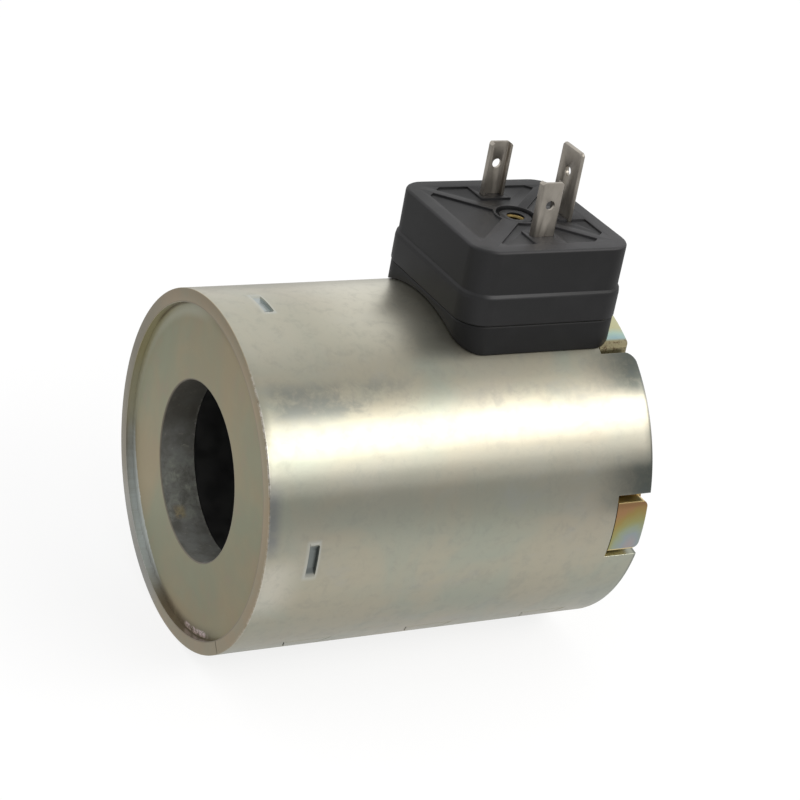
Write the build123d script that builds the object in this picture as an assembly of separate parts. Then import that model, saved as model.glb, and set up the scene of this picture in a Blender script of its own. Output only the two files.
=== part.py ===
from build123d import *
import os
from math import sqrt

# Solenoid valve coil, in millimetres.
# The origin lies on the bore axis, in the outer face of the front flux plate.
# +X runs along the bore to the rear and +Z points up through the plug base.
# An angle is measured round the bore axis from +Z towards -Y.

# Steel case
tube_diameter = 63.0
tube_wall = 2.4
tube_length = 73.9
rim_chamfer = 0.35
front_recess = 1.05
rear_recess = 0.3

# Interlocked seam of the rolled case
seam_angle = 140.0
seam_gap = 0.15
key_pitch = 23.7
first_key = 15.2
key_margin = 3.0
key_neck = 5.8
key_head = 8.8
key_reach = 4.0
punch_diameter = 1.3
punch_depth = 0.6

# Staked dents that stop the front flux plate
stake_count = 4
stake_length = 6.3
stake_width = 1.6
stake_depth = 1.0
stake_ramp = 0.9
stake_play = 0.05

# Flux plates
bore_diameter = 31.4
front_plate_thickness = 6.65
rear_plate_thickness = 6.2
plate_play = 0.1
roll_width = 3.0
roll_depth = 0.25
bore_chamfer = 0.3

# Tabs of the rear flux plate and the notches they fill
side_tab_angles = (90.0, 180.0, 270.0)
side_tab_width = 9.6
plug_tab_width = 31.4
tab_corner = 1.2
side_tab_gap = 1.35
plug_tab_gap = 0.95
tab_sink = 0.1
notch_play = 0.15

# Bobbin and winding
bobbin_play = 0.2
bobbin_wall = 1.2
flange_cover = 2.25
coil_gap = 0.05
end_gap = 0.1
tape_thickness = 0.5

# Seal rings in the ends of the bobbin
seal_section = 1.5
seal_offset = 4.5
seal_play = 0.02
lead_web = 0.4

# Moulding round the winding
case_gap = 0.25
mould_wall = 2.9
saddle_rise = 1.2
saddle_gap = 0.1
saddle_inset = 0.15
parting_chamfer = 0.25

# Plug base
plug_size = 31.0
plug_corner = 4.5
plug_setback = 19.0
band_step = 0.45
band_height = 4.6
ledge_height = 1.1
block_height = 7.9
top_round = 0.6

# Moulded relief of the plug base's top face
relief_depth = 0.35
relief_half = 12.4
relief_cut = 3.6
pad_half = 3.0
pad_start = 7.1
rib_width = 1.7
key_rib_width = 3.0
ring_inner = 3.1
ring_outer = 4.9
ring_rim = 0.5
ring_depth = 1.0
boss_sink = 0.25

# Screw insert
insert_diameter = 4.6
insert_length = 7.0
thread_hole = 2.6
thread_chamfer = 0.35
screw_hole = 3.2
lip_height = 0.5
screw_run = 2.5
insert_gap = 0.03
knurl_groove = 0.35

# Contacts
contact_pitch = 18.0
earth_offset = 9.2
contact_gap = 0.05
contact_seat = 3.0
line_width = 4.3
line_depth = 1.4
line_sheet = 0.5
line_height = 9.8
earth_width = 6.3
earth_thickness = 0.8
earth_height = 12.3
tip_chamfer = 0.45
contact_hole = 1.7
line_hole_height = 5.7
earth_hole_height = 7.9
tail_width = 2.4
tongue_length = 3.0
tongue_height = 1.3

# Terminal chamber under the plug base
chamber_side = 1.5
chamber_front = 4.0
chamber_rear_wall = 0.8
chamber_wall = 1.3
neck_play = 0.3
spigot_depth = 1.4
spigot_gap = 0.15

# Leads of the winding
lead_drop = 3.3
lead_diameter = 0.7
lead_bend = 1.6
lead_gap = 0.02
finish_offset = 9.0
sleeve_wall = 0.25
sleeve_play = 0.05
ferrule_wall = 0.35
ferrule_length = 2.2
ferrule_gap = 0.05

# Earth strap
strap_thickness = 0.4
strap_width = 4.0
strap_leg = 1.6
strap_gap = 0.02
earth_tail_drop = 1.8

# Radii and stations worked out from the sizes above
tube_radius = tube_diameter / 2
tube_inner = tube_radius - tube_wall
rim_front = -front_recess
rim_rear = rim_front + tube_length
bore_radius = bore_diameter / 2
plate_radius = tube_inner - plate_play
rear_plate_back = rim_rear - rear_recess
rear_plate_front = rear_plate_back - rear_plate_thickness
seam_keys = 1 + int((tube_length - key_margin - key_head / 2 - first_key) // key_pitch)
coil_front = front_plate_thickness + end_gap
coil_rear = rear_plate_front - end_gap
bobbin_inner = bore_radius + bobbin_play
bobbin_outer = bobbin_inner + bobbin_wall
mould_outer = tube_inner - case_gap
mould_inner = mould_outer - mould_wall
flange_radius = mould_outer - flange_cover
tape_outer = mould_inner - coil_gap
winding_outer = tape_outer - tape_thickness - coil_gap
seal_groove = seal_section - end_gap + 2 * seal_play
lead_groove = lead_diameter + 2 * coil_gap
flange_thickness = seal_groove + lead_web + lead_groove
window_front = coil_front + flange_thickness
window_rear = coil_rear - flange_thickness
seal_radius = bobbin_outer + seal_offset
stake_front = front_plate_thickness + stake_play
parting = tube_radius + saddle_rise
band_size = plug_size + 2 * band_step
plug_x = rim_rear - plug_setback
ledge_bottom = parting + band_height
ledge_top = ledge_bottom + ledge_height
plug_top = ledge_top + block_height
chamber_half = contact_pitch / 2 + chamber_side
chamber_start = plug_x - chamber_front
chamber_end = coil_rear - chamber_rear_wall
neck_half = chamber_half + chamber_wall
neck_start = chamber_start - chamber_wall
notch_front = rear_plate_front - notch_play
lead_radius = lead_diameter / 2
lead_level = parting - lead_drop
web_side = contact_pitch / 2 + line_depth / 2 - line_sheet
lead_y = web_side - lead_radius - lead_gap
lead_end = plug_x + tail_width / 2 + 3 * lead_gap
ferrule_start = plug_x + tail_width / 2 + (tongue_length - ferrule_length) / 2
sleeve_end = plug_x + tail_width / 2 + tongue_length + ferrule_gap
groove_x = window_rear + lead_radius + coil_gap
earth_x = plug_x + earth_offset
insert_top = plug_top - boss_sink - lip_height
insert_bottom = insert_top - insert_length


def turned(points):
    """Solid of revolution about the bore axis from (x, radius) points."""
    outline = make_face(Polyline(points, close=True))
    return revolve(Plane.XZ * outline, Axis.X)


def disc(start, end, radius):
    """Plain cylinder along the bore axis."""
    return turned([(start, 0), (end, 0), (end, radius), (start, radius)])


def block(x0, x1, y0, y1, z0, z1):
    """Box given by its lowest and highest corners."""
    middle = Pos((x0 + x1) / 2, (y0 + y1) / 2, (z0 + z1) / 2)
    return middle * Box(x1 - x0, y1 - y0, z1 - z0)


def surface_height(radius, y):
    """Height above the bore axis of a round surface, at the side offset y."""
    return sqrt(radius**2 - y**2)


def seam_slit():
    """Thin wall along the seam that runs round each dovetail key, in the case's top position."""
    low = tube_inner - tube_wall
    reach = 3 * tube_wall
    slit = block(rim_front - 1, rim_rear + 1, -seam_gap / 2, seam_gap / 2, low, low + reach)
    for number in range(seam_keys):
        x = rim_front + first_key + number * key_pitch
        near = -seam_gap / 2
        far = near + key_reach
        outer = Polyline(
            (x - key_neck / 2, near),
            (x + key_neck / 2, near),
            (x + key_head / 2, far),
            (x - key_head / 2, far),
            close=True,
        )
        inner = Polyline(
            (x - key_neck / 2 + seam_gap, near),
            (x + key_neck / 2 - seam_gap, near),
            (x + key_head / 2 - seam_gap, far - seam_gap),
            (x - key_head / 2 + seam_gap, far - seam_gap),
            close=True,
        )
        slit += Pos(0, 0, low) * extrude(make_face(outer), reach)
        slit -= Pos(0, 0, low) * extrude(make_face(inner), reach)
    return slit


def stake(outline):
    """Bar across a staked dent in the case's top position, over an outline of (y, z) points."""
    face = make_face(Plane.YZ * Polyline(outline, close=True))
    return Pos(stake_front, 0, 0) * extrude(face, stake_width)


def stake_dent():
    """Wall pushed inwards behind a stake, sloping at both ends."""
    half = stake_length / 2
    floor = half - stake_ramp
    level = tube_radius - stake_depth
    return stake([
        (-half, level),
        (-half, tube_inner),
        (-floor, level - tube_wall),
        (floor, level - tube_wall),
        (half, tube_inner),
        (half, level),
    ])


def stake_pocket():
    """Space of a stake: a flat floor between two sloping ends."""
    half = stake_length / 2
    floor = half - stake_ramp
    level = tube_radius - stake_depth
    return stake([
        (-floor, level),
        (floor, level),
        (half, tube_radius),
        (half, tube_diameter),
        (-half, tube_diameter),
        (-half, tube_radius),
    ])


def housing_tube():
    case = turned([
        (rim_front, tube_inner),
        (rim_rear, tube_inner),
        (rim_rear, tube_radius - rim_chamfer),
        (rim_rear - rim_chamfer, tube_radius),
        (rim_front + rim_chamfer, tube_radius),
        (rim_front, tube_radius - rim_chamfer),
    ])
    past = rim_rear + 1
    half = side_tab_width / 2 + side_tab_gap
    for angle in side_tab_angles:
        case -= Rot(angle, 0, 0) * block(notch_front, past, -half, half, 0, tube_diameter)
    half = plug_tab_width / 2 + plug_tab_gap
    case -= block(notch_front, past, -half, half, 0, tube_diameter)
    half = neck_half + neck_play
    case -= block(neck_start - neck_play, past, -half, half, 0, tube_diameter)
    for number in range(stake_count):
        turn = Rot(number * 360 / stake_count, 0, 0)
        case += turn * stake_dent()
        case -= turn * stake_pocket()
    case -= Rot(seam_angle, 0, 0) * seam_slit()
    for number in range(seam_keys):
        x = rim_front + first_key + number * key_pitch
        punch = Pos(x, key_reach / 2, tube_radius) * Cylinder(punch_diameter / 2, 2 * punch_depth)
        case -= Rot(seam_angle, 0, 0) * punch
    return case


def front_flux_plate():
    return turned([
        (0, bore_radius),
        (0, plate_radius - roll_width),
        (roll_depth / 3, plate_radius - roll_width / 3),
        (roll_depth, plate_radius),
        (front_plate_thickness, plate_radius),
        (front_plate_thickness, bore_radius + bore_chamfer),
        (front_plate_thickness - bore_chamfer, bore_radius),
    ])


def plate_tab(width):
    """Tab in the case's top position, with its two rear corners rounded."""
    outline = Polyline(
        (rear_plate_front, -width / 2),
        (rear_plate_back, -width / 2),
        (rear_plate_back, width / 2),
        (rear_plate_front, width / 2),
        close=True,
    )
    face = make_face(outline)
    face = fillet(face.vertices().sort_by(Axis.X)[-2:], tab_corner)
    low = surface_height(plate_radius, width / 2) - tube_wall
    tab = Pos(0, 0, low) * extrude(face, tube_diameter)
    return tab & disc(rear_plate_front - 1, rear_plate_back + 1, tube_radius - tab_sink)


def rear_flux_plate():
    plate = disc(rear_plate_front, rear_plate_back, plate_radius)
    for angle in side_tab_angles:
        plate += Rot(angle, 0, 0) * plate_tab(side_tab_width)
    plate += plate_tab(plug_tab_width)
    return plate - turned([
        (rear_plate_front - 1, 0),
        (rear_plate_back + 1, 0),
        (rear_plate_back + 1, bore_radius),
        (rear_plate_front + bore_chamfer, bore_radius),
        (rear_plate_front, bore_radius + bore_chamfer),
        (rear_plate_front - 1, bore_radius + bore_chamfer),
    ])


def bobbin():
    groove_half = seal_section / 2 + seal_play
    spool = turned([
        (coil_front, bobbin_inner),
        (coil_front, flange_radius),
        (window_front, flange_radius),
        (window_front, bobbin_outer),
        (window_rear, bobbin_outer),
        (window_rear, flange_radius),
        (coil_rear, flange_radius),
        (coil_rear, bobbin_inner),
    ])
    for start, end in ((coil_front, coil_front + seal_groove), (coil_rear - seal_groove, coil_rear)):
        spool -= turned([
            (start, seal_radius - groove_half),
            (start, seal_radius + groove_half),
            (end, seal_radius + groove_half),
            (end, seal_radius - groove_half),
        ])
    half = lead_groove / 2
    foot = surface_height(bobbin_outer, lead_y)
    return spool - block(window_rear, window_rear + lead_groove, lead_y - half, lead_y + half, foot, tube_radius)


def winding():
    return turned([
        (window_front + coil_gap, bobbin_outer + coil_gap),
        (window_rear - coil_gap, bobbin_outer + coil_gap),
        (window_rear - coil_gap, winding_outer),
        (window_front + coil_gap, winding_outer),
    ])


def winding_tape():
    tape = turned([
        (window_front + coil_gap, winding_outer + coil_gap),
        (window_rear - coil_gap, winding_outer + coil_gap),
        (window_rear - coil_gap, tape_outer),
        (window_front + coil_gap, tape_outer),
    ])
    exit_hole = Circle(lead_radius + sleeve_play)
    return tape - Pos(plug_x + finish_offset, -lead_y, 0) * extrude(exit_hole, 2 * tube_radius)


def seal_ring(start):
    """Square-cut ring between the bobbin's end groove and a flux plate."""
    inner = seal_radius - seal_section / 2
    outer = seal_radius + seal_section / 2
    end = start + seal_section
    return turned([(start, inner), (start, outer), (end, outer), (end, inner)])


def lead_route(x, y, foot, end):
    """Route of a lead: straight up, one bend, then forwards to its contact."""
    return FilletPolyline((x, y, foot), (x, y, lead_level), (end, y, lead_level), radius=lead_bend)


def along(route, radius):
    """Round rod of the given radius along a route that starts upwards."""
    start = route @ 0
    section = Pos(start.X, start.Y, start.Z) * Circle(radius)
    return sweep(section, path=route)


def start_lead():
    foot = surface_height(bobbin_outer, lead_y) + coil_gap
    return along(lead_route(groove_x, lead_y, foot, lead_end), lead_radius)


def finish_lead():
    foot = surface_height(winding_outer, lead_y - lead_radius) + coil_gap
    return along(lead_route(plug_x + finish_offset, -lead_y, foot, lead_end), lead_radius)


def lead_sleeve(x, y, foot):
    route = lead_route(x, y, foot, sleeve_end)
    hole = lead_radius + sleeve_play
    return along(route, hole + sleeve_wall) - along(route, hole)


def start_lead_sleeve():
    foot = surface_height(flange_radius, lead_y - lead_radius - sleeve_wall) + 2 * sleeve_play
    return lead_sleeve(groove_x, lead_y, foot)


def finish_lead_sleeve():
    foot = surface_height(tape_outer, lead_y - lead_radius - sleeve_wall) + 2 * sleeve_play
    return lead_sleeve(plug_x + finish_offset, -lead_y, foot)


def crimp_ferrules():
    inner_width = line_sheet + lead_diameter + lead_gap + 2 * ferrule_gap
    inner_height = tongue_height + 2 * ferrule_gap
    middle = web_side + line_sheet + ferrule_gap - inner_width / 2
    outer = Box(ferrule_length, inner_width + 2 * ferrule_wall, inner_height + 2 * ferrule_wall)
    outer = fillet(outer.edges().filter_by(Axis.X), ferrule_wall)
    ferrule = outer - Box(2 * ferrule_length, inner_width, inner_height)
    x = ferrule_start + ferrule_length / 2
    pair = [Pos(x, side * middle, lead_level) * ferrule for side in (1, -1)]
    return Compound(children=pair)


def plug_outline(size):
    """Square outline of the plug base with rounded corners, about the plug's own centre."""
    return Pos(plug_x, 0) * RectangleRounded(size, size, plug_corner + (size - plug_size) / 2)


def coil_overmould():
    bump = tube_inner - stake_depth - case_gap
    step = stake_front + stake_width + case_gap
    body = turned([
        (coil_front, 0),
        (coil_rear, 0),
        (coil_rear, mould_outer),
        (step, mould_outer),
        (step, bump),
        (coil_front, bump),
    ])
    saddle_size = band_size - 2 * saddle_inset
    saddle = Pos(0, 0, tube_radius / 2) * extrude(plug_outline(saddle_size), parting - tube_radius / 2)
    saddle = chamfer(saddle.faces().sort_by(Axis.Z)[-1].edges(), parting_chamfer)
    saddle -= disc(0, rim_rear, tube_radius + saddle_gap)
    neck = block(neck_start, coil_rear, -neck_half, neck_half, tube_inner / 2, parting - 2 * parting_chamfer)
    body += saddle
    body += neck
    body -= turned([
        (coil_front - 1, 0),
        (coil_rear + 1, 0),
        (coil_rear + 1, flange_radius + coil_gap),
        (window_rear - coil_gap, flange_radius + coil_gap),
        (window_rear - coil_gap, mould_inner),
        (window_front + coil_gap, mould_inner),
        (window_front + coil_gap, flange_radius + coil_gap),
        (coil_front - 1, flange_radius + coil_gap),
    ])
    body -= block(chamber_start, chamber_end, -chamber_half, chamber_half, tube_inner / 2, parting + 1)
    strap_half = strap_width / 2 + strap_gap
    depth = strap_thickness + strap_gap
    level = strap_level()
    relief_front = coil_rear + end_gap - depth - strap_gap
    body -= block(chamber_end - 1, coil_rear + 1, -strap_half, strap_half, level - strap_gap, level + depth)
    body -= block(relief_front, coil_rear + 1, -strap_half, strap_half, strap_foot() - strap_gap, level + depth)
    return body


def line_section(grow):
    """Channel section of a line blade, open towards the plug's centre, round its own middle."""
    width = line_width + 2 * grow
    depth = line_depth + 2 * grow
    hollow_width = line_width - 2 * line_sheet - 2 * grow
    hollow_depth = line_depth - line_sheet
    channel = Rectangle(width, depth)
    return channel - Pos(0, -line_sheet / 2 - grow) * Rectangle(hollow_width, hollow_depth)


def line_tail(grow):
    """Flat tail below a line blade with its crimp tongue, round the blade's own middle."""
    back = line_depth / 2
    seat = parting + contact_seat
    bottom = lead_level - tongue_height / 2
    half = tail_width / 2 + grow
    return block(-half, half, back - line_sheet - grow, back + grow, bottom - grow, seat)


def line_contact():
    """Line contact at the plug's centre, with its channel open towards -Y."""
    seat = parting + contact_seat
    tip = plug_top + line_height
    blade = Pos(0, 0, seat) * extrude(line_section(0), tip - seat)
    half = line_width / 2
    for side in (1, -1):
        corner = Pos(side * half, 0, tip) * Rot(0, 45, 0)
        blade -= corner * Box(tip_chamfer * sqrt(2), 2 * line_depth, tip_chamfer * sqrt(2))
    hole = Rot(90, 0, 0) * Cylinder(contact_hole / 2, 4 * line_depth)
    blade -= Pos(0, 0, plug_top + line_hole_height) * hole
    back = line_depth / 2
    tongue = block(
        0,
        tail_width / 2 + tongue_length,
        back - line_sheet,
        back,
        lead_level - tongue_height / 2,
        lead_level + tongue_height / 2,
    )
    return blade + line_tail(0) + tongue


def line_contact_1():
    return Pos(plug_x, contact_pitch / 2, 0) * line_contact()


def line_contact_2():
    return mirror(line_contact_1(), Plane.XZ)


def earth_blade(grow):
    """Blade of the earth contact down to its seat in the plug base."""
    seat = parting + contact_seat
    half = earth_width / 2 + grow
    thick = earth_thickness / 2 + grow
    return block(earth_x - thick, earth_x + thick, -half, half, seat, plug_top + earth_height)


def earth_tail(grow):
    """Tail of the earth contact, from its seat down into the terminal chamber."""
    half = tail_width / 2 + grow
    thick = earth_thickness / 2 + grow
    low = parting - spigot_depth - earth_tail_drop
    return block(earth_x - thick, earth_x + thick, -half, half, low, parting + contact_seat)


def earth_contact():
    blade = earth_blade(0)
    tip = plug_top + earth_height
    for side in (1, -1):
        corner = Pos(earth_x, side * earth_width / 2, tip) * Rot(45, 0, 0)
        blade -= corner * Box(2 * earth_thickness, tip_chamfer * sqrt(2), tip_chamfer * sqrt(2))
    hole = Rot(0, 90, 0) * Cylinder(contact_hole / 2, 4 * earth_thickness)
    blade -= Pos(earth_x, 0, plug_top + earth_hole_height) * hole
    return blade + earth_tail(0)


def strap_level():
    """Underside of the strap's level run, just below the tail of the earth contact."""
    return parting - spigot_depth - earth_tail_drop - strap_gap - strap_thickness


def strap_foot():
    """Lower end of the strap's leg on the rear flux plate."""
    return strap_level() - strap_leg + strap_thickness


def earth_strap():
    half = strap_width / 2
    front = earth_x - earth_thickness / 2 - strap_gap - strap_thickness
    back = rear_plate_front - strap_gap
    level = strap_level()
    top = level + strap_thickness
    strap = block(front, back, -half, half, level, top)
    strap += block(front, front + strap_thickness, -half, half, level, top + strap_leg)
    strap += block(back - strap_thickness, back, -half, half, strap_foot(), top)
    return strap


def screw_insert():
    radius = insert_diameter / 2
    hole = thread_hole / 2
    outline = Polyline(
        (hole, insert_bottom),
        (radius, insert_bottom),
        (radius, insert_bottom + insert_length * 0.45),
        (radius - knurl_groove, insert_bottom + insert_length * 0.5),
        (radius, insert_bottom + insert_length * 0.55),
        (radius, insert_top),
        (hole + thread_chamfer, insert_top),
        (hole, insert_top - thread_chamfer),
        close=True,
    )
    return Pos(plug_x, 0, 0) * revolve(Plane.XZ * make_face(outline), Axis.Z)


def relief():
    """Outline of the shallow recess in the plug base's top face, about the plug's own centre."""
    corner = relief_half - relief_cut
    field = make_face(Polyline(
        (relief_half, corner),
        (corner, relief_half),
        (-corner, relief_half),
        (-relief_half, corner),
        (-relief_half, -corner),
        (-corner, -relief_half),
        (corner, -relief_half),
        (relief_half, -corner),
        close=True,
    ))
    field -= Circle(ring_outer + ring_rim)
    for turn in (0, 90, 270):
        field -= Rot(0, 0, turn) * Pos(pad_start + relief_half, 0) * Rectangle(2 * relief_half, 2 * pad_half)
    for turn, width in ((45, rib_width), (135, rib_width), (225, key_rib_width), (315, rib_width)):
        field -= Rot(0, 0, turn) * Pos(relief_half, 0) * Rectangle(2 * relief_half, width)
    return field


def connector_base():
    band = Pos(0, 0, parting) * extrude(plug_outline(band_size), band_height)
    band = chamfer(band.faces().sort_by(Axis.Z)[0].edges(), parting_chamfer)
    ledge = loft([
        Pos(0, 0, ledge_bottom) * plug_outline(band_size),
        Pos(0, 0, ledge_top) * plug_outline(plug_size),
    ])
    upper = Pos(0, 0, ledge_top) * extrude(plug_outline(plug_size), block_height)
    upper = fillet(upper.faces().sort_by(Axis.Z)[-1].edges(), top_round)
    spigot = block(
        chamber_start + spigot_gap,
        chamber_end - spigot_gap,
        spigot_gap - chamber_half,
        chamber_half - spigot_gap,
        parting - spigot_depth,
        parting + band_height / 2,
    )
    base = band + ledge + upper + spigot
    centre = Pos(plug_x, 0, 0)
    base -= centre * Pos(0, 0, plug_top - relief_depth) * extrude(relief(), 2 * relief_depth)
    ring = Circle(ring_outer) - Circle(ring_inner)
    base -= centre * Pos(0, 0, plug_top - ring_depth) * extrude(ring, 2 * ring_depth)
    base -= centre * Pos(0, 0, plug_top - boss_sink) * extrude(Circle(ring_inner + boss_sink), ring_depth)
    pocket = Circle(insert_diameter / 2 + insert_gap)
    base -= centre * Pos(0, 0, insert_bottom) * extrude(pocket, insert_length + insert_gap)
    base -= centre * Pos(0, 0, insert_top) * extrude(Circle(screw_hole / 2), 2 * lip_height + boss_sink)
    run = Circle(thread_hole / 2 + thread_chamfer)
    base -= centre * Pos(0, 0, insert_bottom - screw_run) * extrude(run, 2 * screw_run)
    seat = parting + contact_seat
    for turn in (0, 180):
        slot = Pos(0, contact_pitch / 2, seat) * extrude(line_section(contact_gap), plug_top)
        tail = Pos(0, contact_pitch / 2, 0) * line_tail(contact_gap)
        base -= centre * Rot(0, 0, turn) * (slot + tail)
    return base - earth_blade(contact_gap) - earth_tail(contact_gap)


nodes = {
    "housing_tube": housing_tube(),
    "front_flux_plate": front_flux_plate(),
    "rear_flux_plate": rear_flux_plate(),
    "bobbin": bobbin(),
    "winding": winding(),
    "winding_tape": winding_tape(),
    "front_seal_ring": seal_ring(front_plate_thickness + seal_play),
    "rear_seal_ring": seal_ring(rear_plate_front - seal_play - seal_section),
    "start_lead": start_lead(),
    "finish_lead": finish_lead(),
    "start_lead_sleeve": start_lead_sleeve(),
    "finish_lead_sleeve": finish_lead_sleeve(),
    "crimp_ferrules": crimp_ferrules(),
    "coil_overmould": coil_overmould(),
    "connector_base": connector_base(),
    "line_contact_1": line_contact_1(),
    "line_contact_2": line_contact_2(),
    "earth_contact": earth_contact(),
    "earth_strap": earth_strap(),
    "screw_insert": screw_insert(),
}

os.makedirs("parts", exist_ok=True)
for name, shape in nodes.items():
    export_step(shape, f"parts/{name}.step")
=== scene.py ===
from math import asin, atan2, ceil, cos, pi, radians, sin, tan

import bmesh
import bpy
from mathutils import Matrix, Vector


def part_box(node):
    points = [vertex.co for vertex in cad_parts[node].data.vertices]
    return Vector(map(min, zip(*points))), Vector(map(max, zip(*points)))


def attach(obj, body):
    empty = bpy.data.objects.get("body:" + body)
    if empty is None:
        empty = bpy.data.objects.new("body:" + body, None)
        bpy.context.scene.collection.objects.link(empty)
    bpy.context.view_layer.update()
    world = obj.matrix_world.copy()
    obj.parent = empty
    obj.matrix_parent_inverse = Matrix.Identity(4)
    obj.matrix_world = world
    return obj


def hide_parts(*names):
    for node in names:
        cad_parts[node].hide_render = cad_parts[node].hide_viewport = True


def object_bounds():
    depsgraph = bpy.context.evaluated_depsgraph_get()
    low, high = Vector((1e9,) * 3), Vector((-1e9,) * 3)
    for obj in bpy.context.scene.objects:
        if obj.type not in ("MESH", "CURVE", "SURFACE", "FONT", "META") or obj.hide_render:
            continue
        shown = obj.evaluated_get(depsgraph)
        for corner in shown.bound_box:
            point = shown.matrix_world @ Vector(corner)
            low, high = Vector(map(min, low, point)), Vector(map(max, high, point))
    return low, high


# Solenoid valve coil, in metres. X runs along the bore to the rear and Z points up through the plug base.
# An angle is measured round the bore axis from +Z towards -Y.
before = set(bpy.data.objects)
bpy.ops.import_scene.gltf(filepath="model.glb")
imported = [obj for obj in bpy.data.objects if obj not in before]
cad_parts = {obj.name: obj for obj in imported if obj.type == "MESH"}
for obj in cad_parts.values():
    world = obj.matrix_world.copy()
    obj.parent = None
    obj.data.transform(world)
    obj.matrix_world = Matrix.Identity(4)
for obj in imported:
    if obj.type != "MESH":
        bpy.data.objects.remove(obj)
cad_low, cad_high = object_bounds()
MM = 0.001
DEGREE = pi / 180
FULL_TURN = 2 * pi

# Stations and radii read from the frame
case_low, case_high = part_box("housing_tube")
plate_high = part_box("front_flux_plate")[1]
rear_low, rear_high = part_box("rear_flux_plate")
base_low, base_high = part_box("connector_base")
insert_low, insert_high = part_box("screw_insert")
earth_low, earth_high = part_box("earth_contact")
CASE_RADIUS = case_high.z
CASE_FRONT = case_low.x
CASE_REAR = case_high.x
PART_MIDDLE = 36 * MM
PLUG_X = (base_low.x + base_high.x) / 2
BAND_SIZE = base_high.x - base_low.x

# Steel case
CASE_WALL = 2.4 * MM
CASE_INNER = CASE_RADIUS - CASE_WALL
RIM_ROUND = 0.15 * MM
NOTCH_ROUND = 0.15 * MM
NOTCH_FRONT = rear_low.x - 0.15 * MM
SIDE_NOTCH_HALF = 6.15 * MM
PLUG_NOTCH_HALF = 16.65 * MM
OPENING_CORNER = 2.2 * MM
NECK_SLOT_FRONT = 48.25 * MM
NECK_SLOT_HALF = 12.1 * MM
STAKE_COUNT = 4
STAKE_FRONT = 6.7 * MM
STAKE_WIDTH = 1.8 * MM
STAKE_LENGTH = 6.3 * MM
STAKE_DEPTH = 0.7 * MM
STAKE_RAMP = 1.3 * MM
STAKE_EDGE = 0.12 * MM
SEAM_ANGLE = radians(140)
SEAM_GAP = 0.15 * MM
SEAM_ROUND = 0.14 * MM
SEAM_LEAST_MITRE = 0.4
KEY_COUNT = 3
KEY_PITCH = 23.7 * MM
FIRST_KEY = CASE_FRONT + 15.2 * MM
KEY_NECK = 5.8 * MM
KEY_HEAD = 8.8 * MM
KEY_REACH = 4.0 * MM
PUNCH_RADIUS = 0.65 * MM
PUNCH_DEPTH = 0.6 * MM
PUNCH_TAPER = 0.35
WAVE_DEPTH = 0.007 * MM
WAVE_FADE = 3 * MM

# Front flux plate
BORE_RADIUS = 15.7 * MM
ROLL_DROP = 0.24 * MM
ROLL_WIDTH = 1.6 * MM
ROLL_RADIUS = 17 * MM

# Plug base
PLUG_SIZE = 31.0 * MM
PLUG_CORNER = 4.5 * MM
PARTING = 32.7 * MM
PARTING_CHAMFER = 0.25 * MM
LEDGE_BOTTOM = 37.3 * MM
LEDGE_TOP = 38.4 * MM
PLUG_TOP = base_high.z
SPIGOT_DEPTH = PARTING - base_low.z
SPIGOT_HALF = 10.35 * MM
SPIGOT_FRONT = 50.0 * MM
SPIGOT_REAR = 65.3 * MM
RELIEF_DEPTH = 0.35 * MM
RELIEF_HALF = 12.4 * MM
RELIEF_CUT = 3.6 * MM
PAD_START = 7.1 * MM
PAD_WIDTH = 6 * MM
RIB_WIDTH = 1.7 * MM
KEY_RIB_WIDTH = 3 * MM
RING_RIM = 4.05 * MM
GROOVE_INNER = 2.9 * MM
GROOVE_OUTER = 3.6 * MM
GROOVE_DEPTH = MM
BOSS_RADIUS = 3.2 * MM
BOSS_SINK = 0.4 * MM
INSERT_POCKET = 2.33 * MM
INSERT_GAP = 0.03 * MM
SCREW_HOLE = 1.6 * MM
SCREW_RUN = 1.65 * MM
SCREW_RUN_DEPTH = 2.5 * MM

# Contacts
CONTACT_SEAT = PARTING + 3 * MM
CONTACT_GAP = 0.05 * MM
CONTACT_HOLE = 0.85 * MM
CONTACT_CLIP = 0.45 * MM
CONTACT_CLIP_ROUND = 0.3 * MM
LINE_OFFSET = 9 * MM
LINE_HALF = 2.15 * MM
LINE_REACH = 0.7 * MM
LINE_SHEET = 0.5 * MM
LINE_BEND = 0.42 * MM
LINE_HOLE_HEIGHT = 5.7 * MM
EARTH_HOLE_HEIGHT = 7.9 * MM
EARTH_TAIL_HALF = 1.2 * MM
EARTH_THINNING = 0.2 * MM

# Thread of the screw insert
THREAD_PITCH = 0.5 * MM
THREAD_MINOR = 1.3 * MM
THREAD_MAJOR = 1.55 * MM
THREAD_MOUTH = 0.45 * MM


def place_round_bore(along, radius, angle):
    """Point at a distance along the bore axis, a radius from it and an angle round it."""
    return Vector((along, -radius * sin(angle), radius * cos(angle)))


def place_round_screw(along, radius, angle):
    """Point at a height, a radius from the plug screw's axis and an angle round it."""
    return Vector((PLUG_X + radius * cos(angle), radius * sin(angle), along))


def steps(first, last, count):
    """Evenly spaced values from first to last, both included."""
    return [first + (last - first) * index / count for index in range(count + 1)]


def rounded(corners, arc_steps=5):
    """Closed outline from (a, b, radius) corners, with an arc at each corner that has a radius."""
    outline = []
    for index, (a, b, radius) in enumerate(corners):
        here = Vector((a, b))
        if radius == 0:
            outline.append(here)
            continue
        back = (Vector(corners[index - 1][:2]) - here).normalized()
        ahead = (Vector(corners[(index + 1) % len(corners)][:2]) - here).normalized()
        half = back.angle(ahead) / 2
        centre = here + (back + ahead).normalized() * (radius / sin(half))
        start = here + back * (radius / tan(half)) - centre
        end = here + ahead * (radius / tan(half)) - centre
        first = atan2(start.y, start.x)
        turn = (atan2(end.y, end.x) - first + pi) % (2 * pi) - pi
        for angle in steps(first, first + turn, arc_steps):
            outline.append(centre + radius * Vector((cos(angle), sin(angle))))
    return outline


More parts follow.
